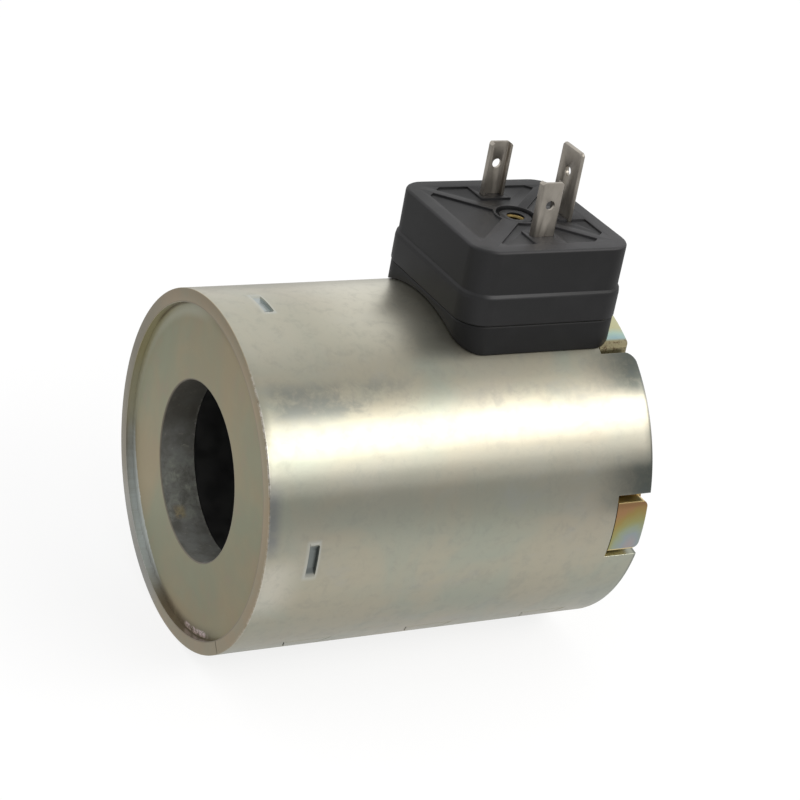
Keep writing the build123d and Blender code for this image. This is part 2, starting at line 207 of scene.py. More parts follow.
def circle(radius, count, centre=(0, 0)):
    """Closed outline of a circle."""
    middle = Vector(centre)
    turns = steps(0, 2 * pi, count)[:-1]
    return [middle + radius * Vector((cos(turn), sin(turn))) for turn in turns]


def mesh_object(name, points, faces):
    """Mesh object with its faces pointing outwards."""
    mesh = bpy.data.meshes.new(name)
    mesh.from_pydata(points, [], faces)
    work = bmesh.new()
    work.from_mesh(mesh)
    bmesh.ops.recalc_face_normals(work, faces=work.faces)
    work.to_mesh(mesh)
    work.free()
    piece = bpy.data.objects.new(name, mesh)
    bpy.context.scene.collection.objects.link(piece)
    return piece


def stacked(name, rings, endless=False):
    """Closed mesh over rings of equally many points, with flat ends unless it is endless."""
    size = len(rings[0])
    points = [point for ring in rings for point in ring]
    faces = []
    for span in range(len(rings) if endless else len(rings) - 1):
        first = span * size
        second = (span + 1) % len(rings) * size
        for index in range(size):
            after = (index + 1) % size
            faces.append((first + index, first + after, second + after, second + index))
    if not endless:
        faces.append(tuple(range(size)))
        faces.append(tuple(range(len(points) - size, len(points))))
    return mesh_object(name, points, faces)


def turned(name, outline, place, count):
    """Ring whose closed outline of (along, radius) points is swept round an axis."""
    turns = steps(0, 2 * pi, count)[:-1]
    return stacked(name, [[place(along, radius, turn) for along, radius in outline] for turn in turns], True)


def prism(name, outline, low, high, place):
    """Solid between two levels over an outline, where place(a, b, level) gives a point."""
    return stacked(name, [[place(a, b, level) for a, b in outline] for level in (low, high)])


def upright(a, b, level):
    """Place for an outline seen from above, about the plug's centre."""
    return Vector((PLUG_X + a, b, level))


def seen_from_above(a, b, level):
    """Place for an outline in X and Y, at a height."""
    return Vector((a, b, level))


def sideways(a, b, level):
    """Place for an outline seen from the side, in X and Z."""
    return Vector((a, level, b))


def lengthways(a, b, level):
    """Place for an outline seen along the bore, in Y and Z."""
    return Vector((level, a, b))


def baked(piece):
    """The piece with its modifiers made part of its mesh."""
    shape = piece.evaluated_get(bpy.context.evaluated_depsgraph_get())
    mesh = bpy.data.meshes.new_from_object(shape)
    old = piece.data
    piece.modifiers.clear()
    piece.data = mesh
    mesh.name = piece.name
    bpy.data.meshes.remove(old)
    return piece


def combined(piece, *tools, operation="DIFFERENCE"):
    """The piece after each tool is cut from it, joined to it or kept in common with it."""
    for tool in tools:
        change = piece.modifiers.new("change", "BOOLEAN")
        change.operation = operation
        change.solver = "EXACT"
        change.object = tool
        baked(piece)
        bpy.data.objects.remove(tool)
    return piece


def eased(piece, width):
    """The piece with its sharp edges rounded."""
    easing = piece.modifiers.new("easing", "BEVEL")
    easing.width = width
    easing.segments = 2
    easing.limit_method = "ANGLE"
    easing.angle_limit = radians(30)
    easing.use_clamp_overlap = True
    easing.miter_outer = "MITER_ARC"
    return baked(piece)


def tidied(piece):
    """The piece with doubled points merged and flat areas made whole."""
    work = bmesh.new()
    work.from_mesh(piece.data)
    bmesh.ops.remove_doubles(work, verts=work.verts, dist=0.002 * MM)
    bmesh.ops.dissolve_limit(work, angle_limit=radians(0.5), verts=work.verts, edges=work.edges)
    work.to_mesh(piece.data)
    work.free()
    return piece


def dressed(name, node):
    """Copy of a node's shape, ready to have its edges rounded."""
    piece = bpy.data.objects.new(name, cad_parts[node].data.copy())
    bpy.context.scene.collection.objects.link(piece)
    return tidied(piece)


def finished(piece, finish, slot, *nodes, crease=radians(32)):
    """Gives the piece its finish and smooth shading, and lets it stand for its nodes."""
    piece.data.materials.clear()
    piece.data.materials.append(finish)
    piece.data.shade_smooth()
    piece.data.set_sharp_from_angle(angle=crease)
    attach(piece, "root")
    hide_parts(*nodes)
    return piece


class Value:
    """A number that varies over a surface, with Python's arithmetic."""

    def __init__(self, finish, socket):
        self.finish = finish
        self.socket = socket

    def maths(self, operation, *others):
        made = self.finish.node("ShaderNodeMath", {"operation": operation}, dict(enumerate(others)))
        return Value(self.finish, made.outputs[0])

    def __add__(self, other):
        return self.maths("ADD", self, other)

    def __radd__(self, other):
        return self.maths("ADD", other, self)

    def __sub__(self, other):
        return self.maths("SUBTRACT", self, other)

    def __rsub__(self, other):
        return self.maths("SUBTRACT", other, self)

    def __mul__(self, other):
        return self.maths("MULTIPLY", self, other)

    def __rmul__(self, other):
        return self.maths("MULTIPLY", other, self)

    def __truediv__(self, other):
        return self.maths("DIVIDE", self, other)

    def __pow__(self, other):
        return self.maths("POWER", self, other)

    def __neg__(self):
        return self.maths("MULTIPLY", self, -1.0)

    def __abs__(self):
        return self.maths("ABSOLUTE", self)

    def most(self, other):
        return self.maths("MAXIMUM", self, other)

    def spread(self, low, high, to_low=0.0, to_high=1.0):
        """Smooth step from one range of values to another."""
        made = self.finish.node(
            "ShaderNodeMapRange",
            {"interpolation_type": "SMOOTHSTEP"},
            {"Value": self, "From Min": low, "From Max": high, "To Min": to_low, "To Max": to_high},
        )
        return Value(self.finish, made.outputs["Result"])

    def window(self, start, full, last, end):
        """One between full and last, and nothing before start or after end."""
        return self.spread(start, full) * self.spread(end, last)


class Finish:
    """The nodes of one surface finish, or of the studio's surroundings."""

    def __init__(self, owner):
        owner.use_nodes = True
        self.owner = owner
        self.tree = owner.node_tree
        self.tree.nodes.clear()

    def node(self, kind, settings=None, sockets=None):
        """New node of a kind: its settings first, then the values or links of its sockets."""
        made = self.tree.nodes.new(kind)
        for name, value in (settings or {}).items():
            if name == "stops":
                ramp = made.color_ramp
                while len(ramp.elements) < len(value):
                    ramp.elements.new(0.5)
                for element, (position, colour) in zip(ramp.elements, value):
                    element.position = position
                    element.color = (*colour, 1)
            else:
                setattr(made, name, value)
        for name, value in (sockets or {}).items():
            socket = made.inputs[name]
            source = value.socket if isinstance(value, Value) else value
            if isinstance(source, bpy.types.NodeSocket):
                self.tree.links.new(source, socket)
            elif isinstance(source, tuple) and len(source) == 3 and socket.type == "RGBA":
                socket.default_value = (*source, 1)
            else:
                socket.default_value = source
        return made

    def spot(self):
        """Object coordinates as a vector."""
        return self.node("ShaderNodeTexCoord").outputs["Object"]

    def place(self):
        """Object coordinates as a vector and as three values."""
        spot = self.spot()
        parts = self.node("ShaderNodeSeparateXYZ", None, {0: spot}).outputs
        return spot, Value(self, parts[0]), Value(self, parts[1]), Value(self, parts[2])

    def vector(self, x, y, z):
        return self.node("ShaderNodeCombineXYZ", None, {0: x, 1: y, 2: z}).outputs[0]

    def noise(self, spot, size, detail=3.0, roughness=0.55, distortion=0.0, stretch=(1, 1, 1)):
        """Cloudy pattern from 0 to 1, with blotches of about the given size."""
        scale = tuple(1 / (size * part) for part in stretch)
        mapped = self.node("ShaderNodeMapping", None, {"Vector": spot, "Scale": scale}).outputs[0]
        sockets = {
            "Vector": mapped,
            "Scale": 1.0,
            "Detail": detail,
            "Roughness": roughness,
            "Distortion": distortion,
        }
        return Value(self, self.node("ShaderNodeTexNoise", None, sockets).outputs[0])

    def mix(self, share, first, second):
        """Colour between two colours."""
        settings = {"data_type": "RGBA", "clamp_factor": True}
        return self.node("ShaderNodeMix", settings, {0: share, 6: first, 7: second}).outputs[2]

    def ramp(self, value, stops):
        return self.node("ShaderNodeValToRGB", {"stops": stops}, {0: value}).outputs[0]

    def bumped(self, height, distance, strength=1.0):
        """Normal of a surface whose height, from 0 to 1, stands for the given distance."""
        sockets = {"Height": height, "Distance": distance, "Strength": strength}
        return self.node("ShaderNodeBump", None, sockets).outputs[0]

    def surface(self, **sockets):
        """Ends the finish in one principled surface."""
        named = {name.replace("_", " "): value for name, value in sockets.items()}
        shader = self.node("ShaderNodeBsdfPrincipled", None, named)
        self.node("ShaderNodeOutputMaterial", None, {"Surface": shader.outputs[0]})
        return self.owner


def new_finish(name):
    return Finish(bpy.data.materials.new(name))


def round_bore(finish):
    """Object coordinates unrolled round the bore axis: along, round in degrees and out."""
    spot, x, y, z = finish.place()
    back = -y
    turn = back.maths("ARCTAN2", back, z) * (180 / pi)
    out = (y * y + z * z) ** 0.5
    return spot, x, turn, out


def from_quarter(turn):
    """Degrees from the nearest quarter of a turn round the bore."""
    shifted = turn + 405
    return shifted.maths("FLOORED_MODULO", shifted, 90.0) - 45


def rolling_streaks(finish, turn, out):
    """Pattern of fine lines that follow a rim round the bore."""
    return finish.noise(finish.vector(turn * 0.01, out * 0.6, 0.0), 12 * MM, 3.0, 0.6)


def case_clouds(finish, spot, blotch):
    """Colour of the case's plating: olive in soft clouds of green, pink and steel grey."""
    broad = finish.noise(spot, 30 * MM, 2.0, stretch=(1.6, 1, 1))
    tint = finish.noise(spot, 17 * MM, 3.0, 0.6, 0.6, stretch=(1, 1.4, 1))
    olive = (0.40, 0.372, 0.290)
    green = (0.350, 0.365, 0.300)
    pink = (0.405, 0.365, 0.305)
    steel = (0.350, 0.360, 0.345)
    colour = finish.mix(tint.spread(0.35, 0.7), olive, green)
    colour = finish.mix(broad.spread(0.45, 0.75) * 0.5, colour, pink)
    return finish.mix(blotch.spread(0.5, 0.8) * 0.45, colour, steel)


def case_painted_light_and_tone(finish, colour, x, turn, blotch, smear):
    """Adds painted light and shade to the case's outer face, with darker green bands towards the rear and
    grey mottling.
    """
    pale = (0.50, 0.48, 0.40)
    blue_grey = (0.20, 0.21, 0.225)
    cream = (0.60, 0.575, 0.50)
    dark_green = (0.095, 0.108, 0.098)
    dark_reflection_grey = (0.155, 0.175, 0.168)
    painted_light_olive = (0.66, 0.64, 0.54)
    mid_grey = (0.24, 0.245, 0.225)
    rear_edge_shade_colour = (0.12, 0.13, 0.12)
    # Painted light: paler towards the front top, where the plug's dark reflection does not reach.
    front = x.spread(24 * MM, 4 * MM) * turn.window(-60, -30, 22, 38)
    colour = finish.mix(front * 0.5, colour, pale)
    shade = x.spread(CASE_FRONT + 3 * MM, CASE_FRONT + 0.7 * MM) * turn.window(60, 69, 82, 90)
    colour = finish.mix(shade * (0.35 + smear * 0.6), colour, blue_grey)
    gleam = x.spread(CASE_FRONT + 9 * MM, CASE_FRONT + 1.5 * MM) * turn.window(86, 94, 102, 116)
    colour = finish.mix(gleam * 0.6, colour, cream)
    # Darker green in two bands either side of the highlight, growing towards the rear edge.
    rear = x.spread(59 * MM, 72 * MM) * (0.55 + smear)
    highlight_flanks = turn.window(24, 33, 43, 49).most(turn.window(63, 70, 81, 87))
    colour = finish.mix(rear * highlight_flanks * 0.85, colour, dark_green)
    # Painted dark reflection in mottled patches along the highlight's upper edge.
    dark_reflection = turn.window(33, 39, 44, 49) * x.window(-1 * MM, 3 * MM, 12 * MM, 40 * MM)
    fainter_dark_reflection = 0.4 * turn.window(39, 43, 46, 50) * x.window(30 * MM, 42 * MM, 58 * MM, 68 * MM)
    ragged = (blotch * 1.6 + smear).spread(0.95, 1.5)
    colour = finish.mix(dark_reflection.most(fainter_dark_reflection) * ragged * 0.62, colour, dark_reflection_grey)
    # Painted light: paler beside the plug, where its dark reflection falls, and just below the highlight.
    painted_light_beside_plug = x.window(10 * MM, 28 * MM, 34 * MM, 48 * MM) * turn.window(-50, -18, 10, 38)
    painted_light_below_highlight = turn.window(59, 63, 67, 71)
    colour = finish.mix(painted_light_beside_plug * 0.72 + painted_light_below_highlight * 0.28, colour, painted_light_olive)
    colour = finish.mix(smear.spread(0.46, 0.72) * 0.22, colour, mid_grey)
    # Painted shade along the rounding of the rear edge.
    rear_edge_shade = x.spread(CASE_REAR - 0.6 * MM, CASE_REAR - 0.25 * MM) * turn.window(14, 24, 100, 130)
    return finish.mix(rear_edge_shade * 0.6, colour, rear_edge_shade_colour)


def case_dents(finish, colour, x, turn, out, smear):
    """Adds painted shade to the staked dents, lighter in the top dent, and the bright metal pushed up round
    them, partly a painted highlight.
    """
    bright = (0.56, 0.60, 0.59)
    shaded_dent_colour = (0.135, 0.155, 0.155)
    lit_dent_colour = (0.42, 0.46, 0.46)
    rear = STAKE_FRONT + STAKE_WIDTH
    end = STAKE_LENGTH / 2
    dent = x.window(STAKE_FRONT - MM, STAKE_FRONT, rear, rear + MM)
    dent = dent * out.spread(CASE_RADIUS - 0.12 * MM, CASE_RADIUS - 0.45 * MM)
    round_dent = abs(from_quarter(turn)) * DEGREE * out
    # Bright metal pushed up round each dent, partly a painted highlight on its rim.
    lip = x.window(STAKE_FRONT - 0.75 * MM, STAKE_FRONT - 0.15 * MM, rear + 0.1 * MM, rear + 0.5 * MM)
    lip = lip * round_dent.spread(end + 0.9 * MM, end + 0.1 * MM)
    colour = finish.mix(lip * (smear * 0.55), colour, bright)
    # Painted shade in the dents, lighter in the top dent, where more light reaches.
    dent_shade_colour = finish.mix(turn.window(-40, -20, 20, 40), shaded_dent_colour, lit_dent_colour)
    return finish.mix(dent * 0.85, colour, dent_shade_colour)


def case_rim(finish, colour, x, turn, out, blotch, smear):
    """Adds the brown rim face, with painted shade on one side, and the wall inside it, with painted light
    and shade round its turn, a painted highlight on one side and painted shade in its corner.
    """
    # Painted highlight: a fan of light across the wall and rim face, from near the bottom round one side.
    light = turn.window(-174, -152, -134, -84) * (0.55 + 0.9 * rolling_streaks(finish, turn, out))
    brown = finish.mix(blotch.spread(0.35, 0.7), (0.340, 0.274, 0.185), (0.320, 0.288, 0.205))
    # Painted shade: the rim face darker on that side, up towards the top.
    brown = finish.mix(turn.window(-135, -115, -72, -30), brown, (0.205, 0.184, 0.135))
    grey_side = turn.window(-174, -160, -132, -112) * (0.6 + 0.5 * smear)
    brown = finish.mix(grey_side, brown, (0.29, 0.295, 0.275))
    colour = finish.mix(x.spread(CASE_FRONT + 0.14 * MM, CASE_FRONT + 0.04 * MM), colour, brown)
    # Painted light and shade: the wall inside the rim lighter on that side and darker elsewhere, with a
    # yellow tint over part of it.
    wall = finish.mix(turn.window(-110, -95, -30, -15), (0.34, 0.30, 0.24), (0.60, 0.57, 0.46))
    wall = finish.mix(turn.window(-84, -70, -48, -36) * 0.5, wall, (0.60, 0.52, 0.28))
    wall = finish.mix(light, wall, (0.64, 0.67, 0.66))
    colour = finish.mix(out.spread(CASE_INNER + 0.10 * MM, CASE_INNER + 0.02 * MM), colour, wall)
    # Painted shade in the corner at the wall's inner edge, left out under the painted highlight.
    edge = out.spread(CASE_INNER - 0.02 * MM, CASE_INNER + 0.04 * MM)
    edge = edge * out.spread(CASE_INNER + 0.24 * MM, CASE_INNER + 0.16 * MM)
    return finish.mix(edge * (1 - light) * 0.42, colour, (0.15, 0.125, 0.085))


def case_wear(finish, colour, x, turn, out, nicks):
    """Adds the bright nicks and dark specks of wear on the front edge, laid mostly where the highlight
    falls, so the bright nicks are partly painted glints.
    """
    glinting_bare_steel = (0.74, 0.71, 0.66)
    dark_speck = (0.19, 0.15, 0.115)
    # Wear on the front edge, kept mostly to the highlight's angles, so its bright nicks are partly painted
    # glints.
    wear_and_glint = turn.window(26, 38, 64, 72) + 0.35 * turn.window(68, 76, 118, 134)
    wear_and_glint = wear_and_glint * out.spread(CASE_RADIUS - 0.45 * MM, CASE_RADIUS - 0.15 * MM)
    wear_and_glint = wear_and_glint * x.spread(CASE_FRONT + 0.38 * MM, CASE_FRONT + 0.12 * MM)
    colour = finish.mix(wear_and_glint * nicks.spread(0.35, 0.7) * 0.85, colour, glinting_bare_steel)
    return finish.mix(wear_and_glint * nicks.spread(0.45, 0.25) * 0.5, colour, dark_speck)


def zinc_case_finish():
    """Satin zinc plating: cloudy, with painted light and shade, painted shade in its dents, a brown rim face
    and a front edge with wear and painted glints.
    """
    finish = new_finish("zinc_case")
    spot, x, turn, out = round_bore(finish)
    blotch = finish.noise(spot, 7 * MM, 4.0, 0.65, stretch=(1.5, 1, 1))
    smear = finish.noise(spot, 2.4 * MM, 4.0, 0.7, 0.4)
    grain = finish.noise(spot, 0.8 * MM, 3.0, 0.7)
    nicks = finish.noise(spot, 0.9 * MM, 3.0, 0.75, 0.5)
    colour = case_clouds(finish, spot, blotch)
    colour = case_painted_light_and_tone(finish, colour, x, turn, blotch, smear)
    colour = case_dents(finish, colour, x, turn, out, smear)
    colour = case_rim(finish, colour, x, turn, out, blotch, smear)
    colour = case_wear(finish, colour, x, turn, out, nicks)
    rough = 0.265 + 0.07 * blotch + 0.05 * grain + 0.03 * smear.spread(0.35, 0.7)
    height = grain * 0.5 + blotch * 0.3 + smear * 0.2
    normal = finish.bumped(height, 0.012 * MM, 0.5)
    return finish.surface(Base_Color=colour, Metallic=1.0, Roughness=rough, Normal=normal)


def front_face_colour(finish, spot, turn, out, blotch, smear):
    """Olive film of the plate's face, with a painted reflection and painted highlight on its rolled edge, a
    painted shade line by the rim, and dirt with painted shade along its foot.
    """
    olive = (0.332, 0.280, 0.176)
    green = (0.275, 0.280, 0.190)
    pink = (0.345, 0.276, 0.202)
    broad = finish.noise(spot, 22 * MM, 3.0, 0.6, 0.5)
    colour = finish.mix(broad.spread(0.35, 0.65), olive, green)
    colour = finish.mix(blotch.spread(0.5, 0.75) * 0.5, colour, pink)
    edge = out.spread(26.0 * MM, 27.8 * MM)
    streak = rolling_streaks(finish, turn, out)
    # Painted reflection on the rolled edge from one side up to the top, and a painted highlight fanning
    # across it from near the bottom to that side.
    light = turn.window(-174, -140, -130, -88) * (0.75 + 0.5 * streak)
    soft = turn.window(-112, -90, -20, 0)
    colour = finish.mix(edge * soft * 0.8, colour, (0.42, 0.42, 0.33))
    rolled = (edge + light - 1).spread(0, 0.45) * edge.spread(0, 0.15)
    colour = finish.mix(rolled * (0.6 + 0.8 * streak), colour, (0.60, 0.63, 0.60))
    # Painted shade: a dark line along the plate's outer edge, in an arc near the top.
    rim_shade_line = out.spread(28.5 * MM, 28.95 * MM) * turn.window(-58, -48, -28, -18)
    # Dirt along the plate's foot, partly painted shade where it reflects the floor's shadow.
    dirt_and_reflected_shadow = abs(turn).window(139, 158, 176, 184) * out.window(26.4 * MM, 28.4 * MM, 29.0 * MM, 29.3 * MM)
    dark = (rim_shade_line * 0.7).most(dirt_and_reflected_shadow * (0.3 + 0.6 * smear))
    return finish.mix(dark, colour, (0.115, 0.092, 0.070))


def bore_colour(finish, x, turn, blotch, smear, chips):
    """Dull grey of the plate's bore, with dark brown painted shade above, lighter below, with one rusty
    spot.
    """
    dull = finish.mix(blotch.spread(0.3, 0.7), (0.30, 0.305, 0.285), (0.18, 0.175, 0.155))
    dull = finish.mix(smear.spread(0.58, 0.7) * 0.6, dull, (0.48, 0.47, 0.38))
    rusty = turn.window(-153, -149.5, -145, -141) * x.window(1.0 * MM, 1.8 * MM, 2.8 * MM, 3.8 * MM)
    dull = finish.mix(rusty * smear.spread(0.3, 0.55), dull, (0.42, 0.32, 0.15))
    # Painted shade over the bore's upper part.
    dull = finish.mix(turn.window(-100, -78, 20, 60) * 0.75, dull, (0.085, 0.078, 0.062))
    pale_side = turn.window(-158, -150, -116, -100) * smear.spread(0.3, 0.75)
    dull = finish.mix(pale_side * 0.6, dull, (0.50, 0.52, 0.45))
    rear_edge = x.spread(plate_high.x - 0.6 * MM, plate_high.x - 0.2 * MM) * chips.spread(0.4, 0.8)
    return finish.mix(rear_edge * 0.6, dull, (0.6, 0.6, 0.56))


def front_plate_finish():
    """Olive zinc film on the plate's face, with painted light on its rolled edge, and dull grey in the bore.
    """
    finish = new_finish("zinc_plate")
    spot, x, turn, out = round_bore(finish)
    blotch = finish.noise(spot, 5 * MM, 4.0, 0.65)
    smear = finish.noise(spot, 1.6 * MM, 4.0, 0.7, 0.4)
    chips = finish.noise(spot, 1.1 * MM, 3.0, 0.75, 0.8)
    grain = finish.noise(spot, 0.7 * MM, 3.0, 0.7)
    colour = front_face_colour(finish, spot, turn, out, blotch, smear)
    bruise = turn.window(150, 156, 168, 174) * out.window(27.5 * MM, 28.0 * MM, 28.7 * MM, 29.0 * MM)
    colour = finish.mix(bruise * chips.spread(0.43, 0.6), colour, (0.76, 0.64, 0.66))
    # Painted shade, mottled, on the plate's outer ring beside the rim, from the top round one side.
    rim_side_shade = turn.window(-8, 6, 98, 112) * out.window(26.8 * MM, 28.1 * MM, 28.4 * MM, 28.95 * MM)
    colour = finish.mix(rim_side_shade * (0.15 + smear * 0.6), colour, (0.235, 0.175, 0.115))
    rust = turn.window(70, 75, 82, 87) * out.window(27.2 * MM, 27.8 * MM, 28.4 * MM, 28.9 * MM)
    colour = finish.mix(rust * smear.spread(0.35, 0.6) * 0.7, colour, (0.20, 0.095, 0.06))
    in_bore = out.spread(BORE_RADIUS + 0.3 * MM, BORE_RADIUS + 0.05 * MM)
    colour = finish.mix(in_bore, colour, bore_colour(finish, x, turn, blotch, smear, chips))
    # Painted shade on the bore's rounded front edge.
    bore_edge_shade = out.spread(BORE_RADIUS + 0.3 * MM, BORE_RADIUS + 0.22 * MM)
    bore_edge_shade = bore_edge_shade * x.window(-MM, -0.5 * MM, 0.15 * MM, 0.3 * MM)
    colour = finish.mix(bore_edge_shade * 0.85, colour, (0.17, 0.15, 0.115))
    rough = 0.36 + 0.12 * blotch + 0.12 * in_bore
    height = grain * 0.7 + blotch * 0.3 + bruise * chips * 5
    normal = finish.bumped(height, 0.010 * MM, 0.5)
    metal = 1 - 0.6 * in_bore
    return finish.surface(Base_Color=colour, Metallic=metal, Roughness=rough, Normal=normal)


def rear_plate_finish():
    """Yellow passivated steel, whose film runs through gold, green and blue on each tab's rim."""
    finish = new_finish("yellow_passivated_plate")
    spot, x, turn, out = round_bore(finish)
    y = out * turn.maths("SINE", turn * DEGREE)
    flow = finish.noise(spot, 4 * MM, 2.0, 0.5, 0.6)
    grain = finish.noise(spot, 0.6 * MM, 3.0, 0.7)
    round_tab = from_quarter(turn) * DEGREE * out
    far_along = (x - (rear_high.x - 1.9 * MM)) / (7 * MM)
    far_round = (round_tab - 4 * MM) / (8 * MM)
    film = (far_along * far_along + far_round * far_round) ** 0.5 + (flow - 0.5) * 0.4
    tone = finish.ramp(film, (
        (0.05, (0.33, 0.30, 0.30)),
        (0.26, (0.275, 0.312, 0.320)),
        (0.45, (0.290, 0.330, 0.240)),
        (0.64, (0.310, 0.300, 0.130)),
        (0.84, (0.335, 0.250, 0.090)),
        (1.0, (0.370, 0.215, 0.105)),
    ))
    across = abs(y)
    on_top = abs(turn).spread(44, 38)
    far_across = (across - 13.9 * MM) / (2.4 * MM)
    top_film = (far_along * far_along + far_across * far_across) ** 0.5 + (flow - 0.5) * 0.4
    top_tone = finish.ramp(top_film, (
        (0.1, (0.33, 0.47, 0.50)),
        (0.45, (0.42, 0.56, 0.48)),
        (0.85, (0.52, 0.51, 0.31)),
    ))
    tone = finish.mix(on_top, tone, top_tone)
    side = abs(round_tab).window(4.55 * MM, 4.75 * MM, 6 * MM, 7 * MM)
    tone = finish.mix(side * 0.85, tone, (0.78, 0.62, 0.30))
    top_side = across.window(13.9 * MM, 14.5 * MM, 16.2 * MM, 16.8 * MM) * on_top
    brown = finish.mix(grain.spread(0.5, 0.65), (0.33, 0.29, 0.175), (0.16, 0.12, 0.07))
    tone = finish.mix(top_side, tone, brown)
    cloud = finish.noise(spot, 14 * MM, 3.0, 0.6, 0.5)
    flat_face = finish.mix(cloud.spread(0.35, 0.65), (0.43, 0.395, 0.265), (0.375, 0.37, 0.27))
    tone = finish.mix(out.spread(27.2 * MM, 29.4 * MM), flat_face, tone)
    rough = 0.24 + 0.12 * grain
    normal = finish.bumped(grain, 0.010 * MM, 0.4)
    return finish.surface(Base_Color=tone, Metallic=1.0, Roughness=rough, Normal=normal)


def plug_finish():
    """Black moulded nylon with a fine grain, with a painted sheen on its top face and painted highlights on
    its ledge, near face and near corner.
    """
    finish = new_finish("plug_base_nylon")
    spot, x, y, z = finish.place()
    cloud = finish.noise(spot, 8 * MM, 4.0, 0.6)
    grain = finish.noise(spot, 0.35 * MM, 2.0, 0.6)
    colour = finish.mix(cloud.spread(0.4, 0.75), (0.0035, 0.0035, 0.0040), (0.0075, 0.0073, 0.0082))
    # Painted sheen: the top face paler, fading across it.
    top = z.spread(PLUG_TOP - 0.5 * MM, PLUG_TOP - 0.1 * MM)
    colour = finish.mix(top * y.spread(14 * MM, -14 * MM), colour, (0.032, 0.031, 0.033))
    # Painted highlight along the ledge and on the near face, fading towards the rear.
    ledge = z.spread(LEDGE_TOP - 0.75 * MM, LEDGE_TOP - 0.4 * MM)
    ledge = ledge * z.spread(LEDGE_TOP + 0.15 * MM, LEDGE_TOP - 0.05 * MM)
    lit = y.spread(-12 * MM, -14.5 * MM) * x.spread(PLUG_X + 18 * MM, PLUG_X - 14 * MM)
    colour = finish.mix(lit * (0.10 + ledge * 0.90), colour, (0.040, 0.040, 0.042))
    # Painted highlight on the near front corner.
    corner = y.spread(-11.5 * MM, -13.5 * MM) * x.spread(PLUG_X - 11.5 * MM, PLUG_X - 13.5 * MM)
    colour = finish.mix(corner, colour, (0.0135, 0.0135, 0.0145))
    rough = 0.44 + 0.16 * cloud
    normal = finish.bumped(grain, 0.02 * MM, 0.35)
    return finish.surface(Base_Color=colour, Roughness=rough, Normal=normal, Specular_IOR_Level=0.36)


def saddle_finish():
    """Black glass-filled nylon, a little duller than the plug base."""
    finish = new_finish("overmould_nylon")
    spot = finish.spot()
    cloud = finish.noise(spot, 6 * MM, 4.0, 0.6)
    grain = finish.noise(spot, 0.4 * MM, 2.0, 0.6)
    colour = finish.mix(cloud.spread(0.4, 0.75), (0.0045, 0.0045, 0.0048), (0.0085, 0.0085, 0.0088))
    rough = 0.5 + 0.15 * cloud
    normal = finish.bumped(grain, 0.02 * MM, 0.4)
    return finish.surface(Base_Color=colour, Roughness=rough, Normal=normal, Specular_IOR_Level=0.31)


def contact_finish():
    """Nickel plated sheet with a warm cast and fine drawn lines."""
    finish = new_finish("nickelled_contact")
    spot = finish.spot()
    cloud = finish.noise(spot, 3 * MM, 4.0, 0.6, stretch=(1, 1, 1.5))
    lines = finish.noise(spot, 0.5 * MM, 2.0, 0.6, stretch=(1, 1, 12))
    colour = finish.mix(cloud.spread(0.35, 0.7), (0.44, 0.405, 0.355), (0.34, 0.312, 0.272))
    rough = 0.30 + 0.14 * lines + 0.05 * cloud
    normal = finish.bumped(lines, 0.008 * MM, 0.5)
    return finish.surface(Base_Color=colour, Metallic=1.0, Roughness=rough, Normal=normal)


def insert_finish():
    """Brass, with painted shade down in the thread."""
    finish = new_finish("insert_brass")
    spot, _, _, z = finish.place()
    cloud = finish.noise(spot, 0.8 * MM, 4.0, 0.6)
    colour = finish.mix(cloud.spread(0.35, 0.7), (0.60, 0.45, 0.19), (0.42, 0.29, 0.10))
    # Painted shade, deeper down the thread.
    thread_shade = z.spread(insert_high.z + 0.1 * MM, insert_high.z - 0.5 * MM)
    colour = finish.mix(thread_shade * 0.88, colour, (0.075, 0.055, 0.018))
    return finish.surface(Base_Color=colour, Metallic=1.0, Roughness=0.25 + 0.2 * cloud)


def plain_finish(name, light, dark, size, metallic, rough_low, rough_high):
    """Finish of a small or hidden piece: two tones in soft clouds with a fine grain."""
    finish = new_finish(name)
    spot = finish.spot()
    cloud = finish.noise(spot, size, 4.0, 0.6)
    grain = finish.noise(spot, size / 8, 2.0, 0.6)
    colour = finish.mix(cloud.spread(0.35, 0.7), light, dark)
    rough = cloud.spread(0.3, 0.7, rough_low, rough_high)
    normal = finish.bumped(grain, 0.01 * MM, 0.5)
    return finish.surface(Base_Color=colour, Metallic=metallic, Roughness=rough, Normal=normal)


def stake_depth(along, round_case):
    """Depth of a staked dent at a place along the bore and a distance round from its middle."""
    end = (STAKE_LENGTH / 2 - abs(round_case)) / STAKE_RAMP
    front = (along - STAKE_FRONT) / STAKE_EDGE
    rear = (STAKE_FRONT + STAKE_WIDTH - along) / STAKE_EDGE
    return STAKE_DEPTH * max(0, min(1, end, front, rear))


def case_notches():
    """Openings in the case's rear: half width, angle and front end of each."""
    sides = [(SIDE_NOTCH_HALF, radians(angle), NOTCH_FRONT) for angle in (90, 180, 270)]
    return sides + [(PLUG_NOTCH_HALF, 0.0, NOTCH_FRONT), (NECK_SLOT_HALF, 0.0, NECK_SLOT_FRONT)]


def is_open(turn, x):
    """Whether a place on the case lies in one of its rear openings."""
    for half, middle, front in case_notches():
        away = abs((turn - middle + pi) % FULL_TURN - pi)
        if away < asin(half / CASE_RADIUS) and x > front:
            return True
    return False


def dent_depth(turn, x):
    """Depth of the staked dents at a place on the case."""
    step = FULL_TURN / STAKE_COUNT
    away = (turn + step / 2) % step - step / 2
    return stake_depth(x, away * CASE_RADIUS)


